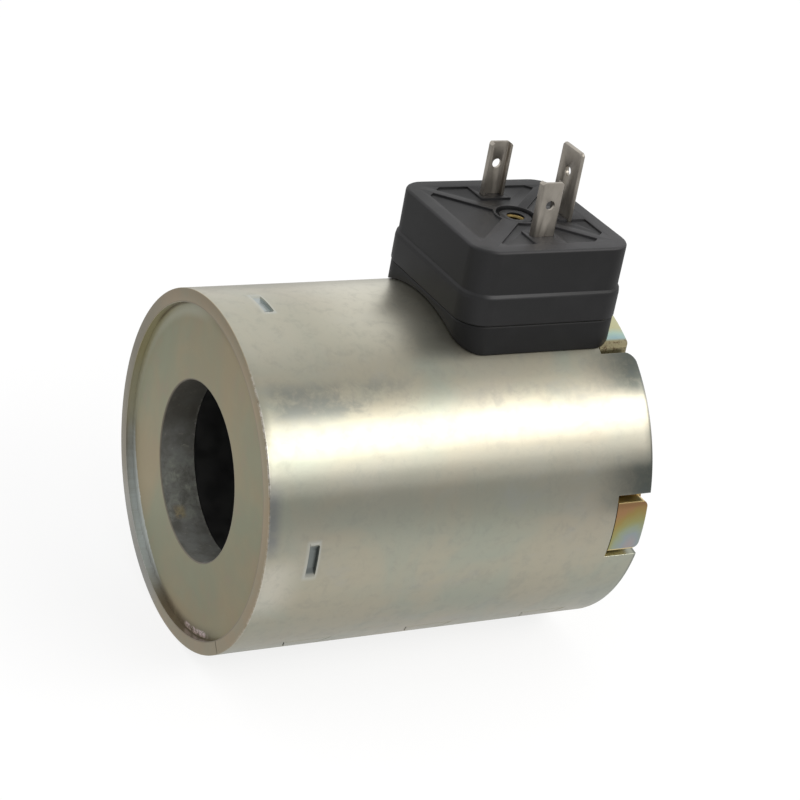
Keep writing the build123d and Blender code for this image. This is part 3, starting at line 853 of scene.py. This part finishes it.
def wave(turn, x):
    """Slight unevenness of a rolled tube, inwards only and fading out at its ends."""
    swell = sin(3 * turn + 90 * x) + sin(5 * turn - 140 * x + 1) + sin(2 * turn + 60 * x + 2)
    fade = min(1, (x - CASE_FRONT) / WAVE_FADE, (CASE_REAR - x) / WAVE_FADE)
    return WAVE_DEPTH * (3 + swell) * fade


def case_stations():
    """Places along the case where its grid has a line: even steps, notch fronts and dents."""
    stake_end = STAKE_FRONT + STAKE_WIDTH
    along = set(steps(CASE_FRONT, CASE_REAR, 46))
    along -= {value for value in along if STAKE_FRONT - MM < value < stake_end + MM}
    for front in (NOTCH_FRONT, NECK_SLOT_FRONT):
        along -= {value for value in along if abs(value - front) < 0.7 * MM}
        along.add(front)
    along |= {STAKE_FRONT - 0.5 * MM, STAKE_FRONT, STAKE_FRONT + STAKE_EDGE, STAKE_FRONT + STAKE_WIDTH / 2}
    along |= {stake_end - STAKE_EDGE, stake_end, stake_end + 0.5 * MM}
    return sorted(along)


def case_turns():
    """Angles round the case where its grid has a line: even steps, notch sides and dent ends."""
    special = []
    for half, middle, _ in case_notches():
        reach = asin(half / CASE_RADIUS)
        special += [middle - reach, middle + reach]
    for number in range(STAKE_COUNT):
        middle = number * FULL_TURN / STAKE_COUNT
        for offset in (STAKE_LENGTH / 2, STAKE_LENGTH / 2 - STAKE_RAMP):
            special += [middle - offset / CASE_RADIUS, middle + offset / CASE_RADIUS]
    special = sorted(value % FULL_TURN for value in special)
    even = steps(0, FULL_TURN, 288)[:-1]
    clear = [turn for turn in even if min(abs(turn - value) for value in special) > 0.008]
    return sorted(clear + special)


def filled_cells(along, turns):
    """Whether each cell of the case's grid holds metal."""
    filled = {}
    for row in range(len(along) - 1):
        for column, turn in enumerate(turns):
            width = (turns[(column + 1) % len(turns)] - turn) % FULL_TURN
            filled[row, column] = not is_open(turn + width / 2, (along[row] + along[row + 1]) / 2)
    return filled


def case_shell():
    """The case's wall as a grid of cells whose lines follow its notches and dents."""
    along = case_stations()
    turns = case_turns()
    points = []
    for radius, wavy in ((CASE_RADIUS, 1), (CASE_INNER, 0)):
        for x in along:
            for turn in turns:
                sink = dent_depth(turn, x) + wave(turn, x) * wavy
                points.append(place_round_bore(x, radius - sink, turn))
    columns = len(turns)
    layer = len(along) * columns
    filled = filled_cells(along, turns)
    faces = []
    rims = {}
    for (row, column), is_filled in filled.items():
        if not is_filled:
            continue
        after = (column + 1) % columns
        low = row * columns
        high = low + columns
        corners = [low + column, low + after, high + after, high + column]
        faces.append(corners)
        faces.append([layer + corner for corner in reversed(corners)])
        around = [(row - 1, column), (row, after), (row + 1, column), (row, (column - 1) % columns)]
        for side, neighbour in enumerate(around):
            if filled.get(neighbour, False):
                continue
            first = corners[side]
            second = corners[(side + 1) % 4]
            faces.append([second, first, layer + first, layer + second])
            is_end = neighbour[0] in (-1, len(along) - 1)
            rims[tuple(sorted((first, second)))] = 1.0 if is_end else NOTCH_ROUND / RIM_ROUND
    return rim_eased(mesh_object("steel_case", points, faces), rims)


def rim_eased(case, rims):
    """The case without stray points, and with the outer edges of its ends and notches rounded."""
    easing = case.data.attributes.new("bevel_weight_edge", "FLOAT", "EDGE")
    for edge in case.data.edges:
        easing.data[edge.index].value = rims.get(tuple(sorted(edge.vertices)), 0.0)
    work = bmesh.new()
    work.from_mesh(case.data)
    bmesh.ops.delete(work, geom=[point for point in work.verts if not point.link_faces], context="VERTS")
    work.to_mesh(case.data)
    work.free()
    change = case.modifiers.new("easing", "BEVEL")
    change.limit_method = "WEIGHT"
    change.width = RIM_ROUND
    change.segments = 3
    return baked(case)


def seam_line():
    """The seam's course as (along, round) points, round each dovetail key."""
    course = [(CASE_FRONT - MM, 0)]
    for number in range(KEY_COUNT):
        middle = FIRST_KEY + number * KEY_PITCH
        course += [
            (middle - KEY_NECK / 2, 0),
            (middle - KEY_HEAD / 2, KEY_REACH),
            (middle + KEY_HEAD / 2, KEY_REACH),
            (middle + KEY_NECK / 2, 0),
        ]
    return course + [(CASE_REAR + MM, 0)]


def seam_cutter():
    """Groove along the seam that opens a little towards the case's outer face."""
    course = [Vector(point) for point in seam_line()]
    rings = []
    for index, here in enumerate(course):
        back = (here - course[index - 1]).normalized() if index else None
        ahead = (course[index + 1] - here).normalized() if index + 1 < len(course) else None
        back = back or ahead
        ahead = ahead or back
        across = ((back + ahead) / 2).normalized()
        across = Vector((across.y, -across.x)) / max(SEAM_LEAST_MITRE, ((back + ahead) / 2).length)
        ring = []
        narrow = SEAM_GAP / 2
        wide = narrow + SEAM_ROUND
        for radius, half in (
            (CASE_RADIUS - 2 * CASE_WALL, narrow),
            (CASE_RADIUS - SEAM_ROUND, narrow),
            (CASE_RADIUS + SEAM_ROUND, wide + SEAM_ROUND),
            (CASE_RADIUS + SEAM_ROUND, -wide - SEAM_ROUND),
            (CASE_RADIUS - SEAM_ROUND, -narrow),
            (CASE_RADIUS - 2 * CASE_WALL, -narrow),
        ):
            spot = here + across * half
            turned_by = SEAM_ANGLE - asin(spot.y / CASE_RADIUS)
            ring.append(place_round_bore(spot.x, radius, turned_by))
        rings.append(ring)
    return stacked("seam_cutter", rings)


def tree_input(tree, name, kind, value):
    """Named input of a geometry tree."""
    socket = tree.interface.new_socket(name, in_out="INPUT", socket_type=kind)
    socket.default_value = value
    return socket


def punch_tree():
    """Repeats a punch mark along the seam, one for each key."""
    tree = bpy.data.node_groups.new("punch_marks", "GeometryNodeTree")
    tree.interface.new_socket("Geometry", in_out="OUTPUT", socket_type="NodeSocketGeometry")
    tree_input(tree, "Count", "NodeSocketInt", KEY_COUNT)
    tree_input(tree, "Pitch", "NodeSocketFloat", KEY_PITCH)
    tree_input(tree, "Start", "NodeSocketVector", (0, 0, 0))
    tree_input(tree, "Turn", "NodeSocketVector", (0, 0, 0))
    tree_input(tree, "Radius", "NodeSocketFloat", PUNCH_RADIUS)
    tree_input(tree, "Depth", "NodeSocketFloat", PUNCH_DEPTH)
    tree_input(tree, "Finish", "NodeSocketMaterial", None)
    nodes = tree.nodes
    link = tree.links.new
    given = nodes.new("NodeGroupInput").outputs
    offset = nodes.new("ShaderNodeCombineXYZ")
    link(given["Pitch"], offset.inputs[0])
    line = nodes.new("GeometryNodeMeshLine")
    link(given["Count"], line.inputs["Count"])
    link(given["Start"], line.inputs["Start Location"])
    link(offset.outputs[0], line.inputs["Offset"])
    cone = nodes.new("GeometryNodeMeshCone")
    cone.inputs["Vertices"].default_value = 24
    link(given["Radius"], cone.inputs["Radius Top"])
    link(given["Depth"], cone.inputs["Depth"])
    shrink = nodes.new("ShaderNodeMath")
    shrink.operation = "MULTIPLY"
    shrink.inputs[1].default_value = PUNCH_TAPER
    link(given["Radius"], shrink.inputs[0])
    link(shrink.outputs[0], cone.inputs["Radius Bottom"])
    repeat = nodes.new("GeometryNodeInstanceOnPoints")
    link(line.outputs[0], repeat.inputs["Points"])
    link(cone.outputs[0], repeat.inputs["Instance"])
    link(given["Turn"], repeat.inputs["Rotation"])
    real = nodes.new("GeometryNodeRealizeInstances")
    link(repeat.outputs[0], real.inputs[0])
    paint = nodes.new("GeometryNodeSetMaterial")
    link(real.outputs[0], paint.inputs["Geometry"])
    link(given["Finish"], paint.inputs["Material"])
    result = nodes.new("NodeGroupOutput")
    link(paint.outputs[0], result.inputs[0])
    return tree


def grown(name, tree, **inputs):
    """Plain mesh that a geometry tree makes from its named inputs."""
    piece = mesh_object(name, [(0, 0, 0)], [])
    growth = piece.modifiers.new("growth", "NODES")
    growth.node_group = tree
    sockets = {item.name: item.identifier for item in tree.interface.items_tree if item.in_out == "INPUT"}
    for key, value in inputs.items():
        growth[sockets[key]] = value
    return baked(piece)


def punch_cutter(finish):
    """Cutter for the punch mark in the middle of each key."""
    middle = place_round_bore(FIRST_KEY, CASE_RADIUS, SEAM_ANGLE - KEY_REACH / 2 / CASE_RADIUS)
    turn = (SEAM_ANGLE - KEY_REACH / 2 / CASE_RADIUS, 0, 0)
    return grown("punch_cutter", punch_tree(), Start=middle, Turn=turn, Depth=PUNCH_DEPTH, Finish=finish)


def corner_cutter(sign):
    """Tool that rounds the case's rear corner beside the plug's opening."""
    radius = OPENING_CORNER
    start = CASE_REAR - radius
    past = CASE_REAR + MM
    outline = []
    for turn in steps(0, pi / 2, 8):
        outline.append((start + radius * sin(turn), sign * (PLUG_NOTCH_HALF + radius - radius * cos(turn))))
    outline.append((past, sign * (PLUG_NOTCH_HALF + radius)))
    outline.append((past, sign * (PLUG_NOTCH_HALF - MM)))
    outline.append((start, sign * (PLUG_NOTCH_HALF - MM)))
    return prism("corner_cutter", outline[::sign], 20 * MM, 36 * MM, seen_from_above)


def steel_case(finish):
    case = combined(case_shell(), seam_cutter(), punch_cutter(finish))
    for sign in (1, -1):
        combined(case, corner_cutter(sign))
    finished(case, finish, "zinc_plated_case", "housing_tube")


def front_plate(finish):
    """Front flux plate, with its face rolled down softly towards the case."""
    rear = plate_high.x
    arc_steps = 7
    outline = rounded([
        (0, BORE_RADIUS, 0.25 * MM),
        (0, CASE_INNER - ROLL_WIDTH, ROLL_RADIUS),
        (ROLL_DROP, CASE_INNER, 0.02 * MM),
        (rear, CASE_INNER, 0.1 * MM),
        (rear, BORE_RADIUS, 0.2 * MM),
    ], arc_steps)
    face = [Vector((0, radius)) for radius in steps(BORE_RADIUS + 0.6 * MM, CASE_INNER - 3.4 * MM, 14)]
    outline = outline[:arc_steps + 1] + face + outline[arc_steps + 1:]
    plate = turned("front_plate", outline, place_round_bore, 320)
    finished(plate, finish, "zinc_plated_plate", "front_flux_plate")


def rear_plate(finish):
    plate = eased(dressed("rear_plate", "rear_flux_plate"), 0.25 * MM)
    finished(plate, finish, "yellow_passivated_plate", "rear_flux_plate")


def plug_outline(size):
    """Rounded square of the plug base, about its own centre."""
    half = size / 2
    radius = PLUG_CORNER + (size - PLUG_SIZE) / 2
    corners = [(half, -half), (half, half), (-half, half), (-half, -half)]
    return rounded([(a, b, radius) for a, b in corners], 9)


def relief_cutter():
    """Tool for the shallow recess in the plug base's top face, cut clear round its pads and ribs."""
    half = RELIEF_HALF
    corner = half - RELIEF_CUT
    field = prism("relief_cutter", [
        (half, corner), (corner, half), (-corner, half), (-half, corner),
        (-half, -corner), (-corner, -half), (corner, -half), (half, -corner),
    ], PLUG_TOP - RELIEF_DEPTH, PLUG_TOP + MM, upright)
    low = PLUG_TOP - MM
    high = PLUG_TOP + 2 * MM
    islands = [prism("ring_rim", circle(RING_RIM, 64), low, high, upright)]
    for turn in (0, 90, 270):
        islands.append(spoke(turn, PAD_START, 16 * MM, PAD_WIDTH, low, high))
    for turn, width in ((45, RIB_WIDTH), (135, RIB_WIDTH), (225, KEY_RIB_WIDTH), (315, RIB_WIDTH)):
        islands.append(spoke(turn, 0, 18 * MM, width, low, high))
    return combined(field, *islands)


def spoke(turn, start, end, width, low, high):
    """Bar that runs outwards from the plug's centre at an angle in degrees."""
    rotation = Matrix.Rotation(radians(turn), 2)
    corners = [(start, -width / 2), (end, -width / 2), (end, width / 2), (start, width / 2)]
    return prism("spoke", [rotation @ Vector(corner) for corner in corners], low, high, upright)


def plug_base(finish):
    """Moulded plug base: band, sloping ledge and block, with the relief of its top face."""
    band = BAND_SIZE / 2
    block = PLUG_SIZE / 2
    side = rounded([
        (band - 2 * MM, PARTING, 0),
        (band - PARTING_CHAMFER, PARTING, 0),
        (band, PARTING + PARTING_CHAMFER, 0),
        (band, LEDGE_BOTTOM, 0.3 * MM),
        (band - 0.12 * MM, LEDGE_TOP - 0.4 * MM, 0.25 * MM),
        (block, LEDGE_TOP, 0.15 * MM),
        (block, PLUG_TOP, 0.55 * MM),
        (block - 2 * MM, PLUG_TOP, 0),
    ], 6)
    rings = [[upright(a, b, height) for a, b in plug_outline(2 * half)] for half, height in side]
    base = stacked("plug_base", rings)
    groove = turned("groove_cutter", rounded([
        (PLUG_TOP - GROOVE_DEPTH, GROOVE_INNER, 0.2 * MM),
        (PLUG_TOP - GROOVE_DEPTH, GROOVE_OUTER, 0.2 * MM),
        (PLUG_TOP + MM, GROOVE_OUTER, 0),
        (PLUG_TOP + MM, GROOVE_INNER, 0),
    ], 3), place_round_screw, 72)
    boss = prism("boss_cutter", circle(BOSS_RADIUS, 72), PLUG_TOP - BOSS_SINK, PLUG_TOP + MM, upright)
    seat = insert_high.z + INSERT_GAP
    pocket = prism("pocket_cutter", circle(INSERT_POCKET, 48), insert_low.z, seat, upright)
    hole = prism("hole_cutter", circle(SCREW_HOLE, 48), insert_high.z, PLUG_TOP + MM, upright)
    run_end = insert_low.z - SCREW_RUN_DEPTH
    run = prism("run_cutter", circle(SCREW_RUN, 48), run_end, insert_low.z + MM, upright)
    spigot = prism("spigot", rounded([
        (SPIGOT_REAR - PLUG_X, -SPIGOT_HALF, MM),
        (SPIGOT_REAR - PLUG_X, SPIGOT_HALF, MM),
        (SPIGOT_FRONT - PLUG_X, SPIGOT_HALF, MM),
        (SPIGOT_FRONT - PLUG_X, -SPIGOT_HALF, MM),
    ]), PARTING - SPIGOT_DEPTH, PARTING + 0.5 * MM, upright)
    combined(base, spigot, operation="UNION")
    combined(base, relief_cutter(), groove, boss, pocket, hole, run)
    for sign in (1, -1):
        combined(base, slot_cutter(sign))
    combined(base, earth_slot_cutter())
    eased(base, 0.1 * MM)
    finished(base, finish, "plug_base_nylon", "connector_base")


def earth_slot_cutter():
    """Tool for the earth blade's slot through the plug base's top face."""
    front = earth_low.x - CONTACT_GAP - PLUG_X
    rear = earth_high.x + CONTACT_GAP - PLUG_X
    right = earth_low.y - CONTACT_GAP
    left = earth_high.y + CONTACT_GAP
    outline = [(front, right), (rear, right), (rear, left), (front, left)]
    return prism("slot_cutter", outline, CONTACT_SEAT, PLUG_TOP + MM, upright)


def channel(sign, grow=0.0):
    """Section of a line contact: folded sheet, open towards the plug's centre."""
    half = LINE_HALF + grow
    back = LINE_OFFSET + LINE_REACH + grow
    front = LINE_OFFSET - LINE_REACH - grow
    sheet = LINE_SHEET + 2 * grow
    bend = LINE_BEND
    tip = 0.12 * MM
    outline = rounded([
        (-half, back, bend),
        (-half, front, tip),
        (-half + sheet, front, tip),
        (-half + sheet, back - sheet, 0.15 * MM),
        (half - sheet, back - sheet, 0.15 * MM),
        (half - sheet, front, tip),
        (half, front, tip),
        (half, back, bend),
    ], 4)
    return [Vector((a, sign * b)) for a, b in outline]


def slot_cutter(sign):
    """Tool for a line contact's slot through the plug base's top face."""
    return prism("slot_cutter", channel(sign, CONTACT_GAP), CONTACT_SEAT, PLUG_TOP + MM, upright)


def line_contact(name, node, sign, finish):
    """Line contact of folded sheet with its hole and clipped tip corners."""
    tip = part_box(node)[1].z
    contact = prism(name, channel(sign), CONTACT_SEAT, tip, upright)
    clip = CONTACT_CLIP
    half = LINE_HALF
    below = CONTACT_SEAT - MM
    shape = rounded([
        (PLUG_X - half - MM, below, 0),
        (PLUG_X + half + MM, below, 0),
        (PLUG_X + half + MM, tip - clip - MM, 0),
        (PLUG_X + half, tip - clip, CONTACT_CLIP_ROUND),
        (PLUG_X + half - clip, tip, CONTACT_CLIP_ROUND),
        (PLUG_X - half + clip, tip, CONTACT_CLIP_ROUND),
        (PLUG_X - half, tip - clip, CONTACT_CLIP_ROUND),
        (PLUG_X - half - MM, tip - clip - MM, 0),
    ], 4)
    front = sign * (LINE_OFFSET - 2 * MM)
    back = sign * (LINE_OFFSET + 2 * MM)
    combined(contact, prism("contact_outline", shape, front, back, sideways), operation="INTERSECT")
    hole = circle(CONTACT_HOLE, 28, (PLUG_X, PLUG_TOP + LINE_HOLE_HEIGHT))
    combined(contact, prism("contact_hole", hole, front, back, sideways))
    eased(contact, 0.06 * MM)
    finished(contact, finish, "nickelled_contact", node)


def earth_contact(finish):
    """Flat earth blade with its hole, clipped corners and thinned tip."""
    tip = earth_high.z
    half = earth_high.y
    clip = CONTACT_CLIP
    tail = EARTH_TAIL_HALF
    thin = EARTH_THINNING
    rings = []
    for x, inset in (
        (earth_low.x, thin),
        (earth_low.x + thin, 0),
        (earth_high.x - thin, 0),
        (earth_high.x, thin),
    ):
        outline = rounded([
            (-half, CONTACT_SEAT, 0),
            (-tail, CONTACT_SEAT, 0),
            (-tail, earth_low.z, 0),
            (tail, earth_low.z, 0),
            (tail, CONTACT_SEAT, 0),
            (half, CONTACT_SEAT, 0),
            (half - inset / 2, tip - clip - inset / 2, CONTACT_CLIP_ROUND),
            (half - clip - inset / 2, tip - inset, CONTACT_CLIP_ROUND),
            (-half + clip + inset / 2, tip - inset, CONTACT_CLIP_ROUND),
            (-half + inset / 2, tip - clip - inset / 2, CONTACT_CLIP_ROUND),
        ], 4)
        rings.append([lengthways(a, b, x) for a, b in outline])
    blade = stacked("earth_blade", rings)
    hole = circle(CONTACT_HOLE, 28, (0, PLUG_TOP + EARTH_HOLE_HEIGHT))
    combined(blade, prism("earth_hole", hole, earth_low.x - MM, earth_high.x + MM, lengthways))
    eased(blade, 0.06 * MM)
    finished(blade, finish, "nickelled_contact", "earth_contact")


def screw_bush(finish):
    """Brass insert with an internal screw thread."""
    low = insert_low.z
    high = insert_high.z
    outer = insert_high.x - PLUG_X
    rows = ceil((high - low) / (THREAD_PITCH / 8))
    turns = steps(0, FULL_TURN, 48)[:-1]
    rings = []
    for turn in turns:
        ring = []
        for height in steps(low, high, rows):
            phase = ((height - low) / THREAD_PITCH - turn / FULL_TURN) % 1
            depth = min(1, max(0, 1.6 - 3.2 * abs(phase - 0.5)))
            mouth = max(0, 1 - (high - height) / THREAD_MOUTH)
            thread = THREAD_MINOR + (THREAD_MAJOR - THREAD_MINOR) * depth
            ring.append(place_round_screw(height, max(thread, THREAD_MINOR + 0.5 * MM * mouth), turn))
        ring.append(place_round_screw(high, outer - 0.1 * MM, turn))
        ring.append(place_round_screw(high - 0.1 * MM, outer, turn))
        ring.append(place_round_screw(low, outer, turn))
        rings.append(ring)
    bush = stacked("screw_bush", rings, True)
    finished(bush, finish, "insert_brass", "screw_insert")


def saddle(finish):
    mould = eased(dressed("moulded_saddle", "coil_overmould"), 0.12 * MM)
    finished(mould, finish, "overmould_nylon", "coil_overmould")


def studio_floor():
    """Pale floor that keeps the coil's shadow and is clear from below; in reflections it has painted shade,
    darker far off and with a painted shadow along under the coil.
    """
    size = 4.0
    corners = [(-size, -size, 0), (size, -size, 0), (size, size, 0), (-size, size, 0)]
    floor = mesh_object("floor", corners, [(0, 1, 2, 3)])
    for point in floor.data.vertices:
        point.co.z = cad_low.z - 0.02 * MM
    finish = new_finish("pale_floor")
    path = finish.node("ShaderNodeLightPath").outputs
    seen = Value(finish, path["Is Camera Ray"]).most(Value(finish, path["Is Glossy Ray"]))
    seen = seen.most(Value(finish, path["Is Transmission Ray"]))
    lit = finish.node("ShaderNodeBsdfDiffuse", None, {"Color": (0.85, 0.85, 0.85)}).outputs[0]
    part = finish.node("ShaderNodeBsdfDiffuse", None, {"Color": (0.22, 0.22, 0.22)}).outputs[0]
    _, x, y, _ = finish.place()
    away = ((x - PART_MIDDLE) ** 2 + y * y) ** 0.5
    # In reflections only, the floor has painted shade: darker far off and a painted shadow along under the
    # coil.
    floor_shade_in_reflections = finish.mix(away.spread(250 * MM, 55 * MM), (0.39, 0.39, 0.39), (0.925, 0.925, 0.925))
    floor_shade_in_reflections = finish.mix(abs(y).spread(52 * MM, 26 * MM) * 0.8, floor_shade_in_reflections, (0.675, 0.675, 0.675))
    tone = finish.mix(Value(finish, path["Is Glossy Ray"]), (1.0, 1.0, 1.0), floor_shade_in_reflections)
    glow = finish.node("ShaderNodeEmission", None, {"Color": tone, "Strength": 0.8}).outputs[0]
    shown = finish.node("ShaderNodeAddShader", None, {0: part, 1: glow}).outputs[0]
    above = finish.node("ShaderNodeMixShader", None, {0: seen, 1: lit, 2: shown}).outputs[0]
    clear = finish.node("ShaderNodeBsdfTransparent").outputs[0]
    below = finish.node("ShaderNodeNewGeometry").outputs["Backfacing"]
    both = finish.node("ShaderNodeMixShader", None, {0: below, 1: above, 2: clear}).outputs[0]
    finish.node("ShaderNodeOutputMaterial", None, {"Surface": both})
    floor.data.materials.append(finish.owner)


def studio_light():
    """White surroundings, a little darker on the camera's side, and one wide soft box."""
    world = bpy.data.worlds.new("studio")
    bpy.context.scene.world = world
    finish = Finish(world)
    way = finish.node("ShaderNodeTexCoord").outputs["Generated"]
    parts = finish.node("ShaderNodeSeparateXYZ", None, {0: way}).outputs
    across = Value(finish, parts[1])
    up = Value(finish, parts[2])
    path = finish.node("ShaderNodeLightPath").outputs
    behind = across.spread(-0.3, 0.5)
    room = behind * 0.65 + up.spread(0.1, 0.9) * (1 - behind) * 0.23 + 0.42
    glossy = Value(finish, path["Is Glossy Ray"])
    camera = Value(finish, path["Is Camera Ray"]).most(Value(finish, path["Is Transmission Ray"]))
    ambient = 0.8 * (1 - glossy) + room * glossy
    strength = camera + (1 - camera) * ambient
    white = {"Color": (1.0, 1.0, 1.0), "Strength": strength}
    backdrop = finish.node("ShaderNodeBackground", None, white).outputs[0]
    finish.node("ShaderNodeOutputWorld", None, {"Surface": backdrop})
    lamp = bpy.data.lights.new("soft_box", "AREA")
    lamp.shape = "RECTANGLE"
    lamp.size = 0.9
    lamp.size_y = 0.335
    lamp.energy = 4.9
    lamp.color = (1.0, 0.985, 0.955)
    box = bpy.data.objects.new("soft_box", lamp)
    aim = Vector((0.485, -0.628, 0.600)).normalized()
    box.location = Vector((PART_MIDDLE, 0, 0)) + aim
    box.rotation_euler = aim.to_track_quat("Z", "Y").to_euler()
    bpy.context.scene.collection.objects.link(box)


def camera():
    """Camera at the photograph's place: ahead of the coil, to its left and above."""
    lens = bpy.data.cameras.new("camera")
    lens.lens = 103.84
    lens.sensor_width = 36.0
    lens.clip_start = 0.01
    lens.clip_end = 50.0
    eye = bpy.data.objects.new("camera", lens)
    right = Vector((0.8773, -0.4491, 0.1692))
    up = Vector((0.0646, 0.4600, 0.8856))
    away = Vector((-0.4756, -0.7660, 0.4326))
    turn = Matrix((right, up, away)).transposed()
    stand = (-156.33 * MM, -312.56 * MM, 187.53 * MM)
    eye.matrix_world = Matrix.Translation(stand) @ turn.to_4x4()
    bpy.context.scene.collection.objects.link(eye)
    bpy.context.scene.camera = eye


def inner_pieces():
    """Finishes of the pieces that the case and the mouldings hide."""
    wire = plain_finish("enamelled_wire", (0.42, 0.13, 0.05), (0.28, 0.08, 0.035), 3 * MM, 1.0, 0.2, 0.35)
    tape = plain_finish("polyester_tape", (0.55, 0.36, 0.08), (0.45, 0.27, 0.05), 6 * MM, 0.0, 0.25, 0.4)
    rubber = plain_finish("seal_rubber", (0.012, 0.012, 0.012), (0.02, 0.02, 0.02), 2 * MM, 0.0, 0.5, 0.65)
    sleeve = plain_finish("sleeve_rubber", (0.05, 0.05, 0.05), (0.03, 0.03, 0.03), 2 * MM, 0.0, 0.4, 0.6)
    tinned = plain_finish("tinned_brass", (0.55, 0.52, 0.47), (0.42, 0.40, 0.36), 1 * MM, 1.0, 0.25, 0.4)
    spool = plain_finish("bobbin_nylon", (0.012, 0.012, 0.012), (0.02, 0.02, 0.019), 4 * MM, 0.0, 0.4, 0.6)
    for node, finish in (
        ("winding", wire),
        ("start_lead", wire),
        ("finish_lead", wire),
        ("winding_tape", tape),
        ("front_seal_ring", rubber),
        ("rear_seal_ring", rubber),
        ("start_lead_sleeve", sleeve),
        ("finish_lead_sleeve", sleeve),
        ("crimp_ferrules", tinned),
        ("earth_strap", tinned),
        ("bobbin", spool),
    ):
        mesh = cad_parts[node].data
        mesh.materials.clear()
        mesh.materials.append(finish)


bpy.context.scene.view_settings.view_transform = "Standard"
camera()
studio_floor()
studio_light()
inner_pieces()
steel_case(zinc_case_finish())
front_plate(front_plate_finish())
rear_plate(rear_plate_finish())
plug_base(plug_finish())
saddle(saddle_finish())
contact_metal = contact_finish()
line_contact("near_line_blade", "line_contact_2", -1, contact_metal)
line_contact("far_line_blade", "line_contact_1", 1, contact_metal)
earth_contact(contact_metal)
screw_bush(insert_finish())
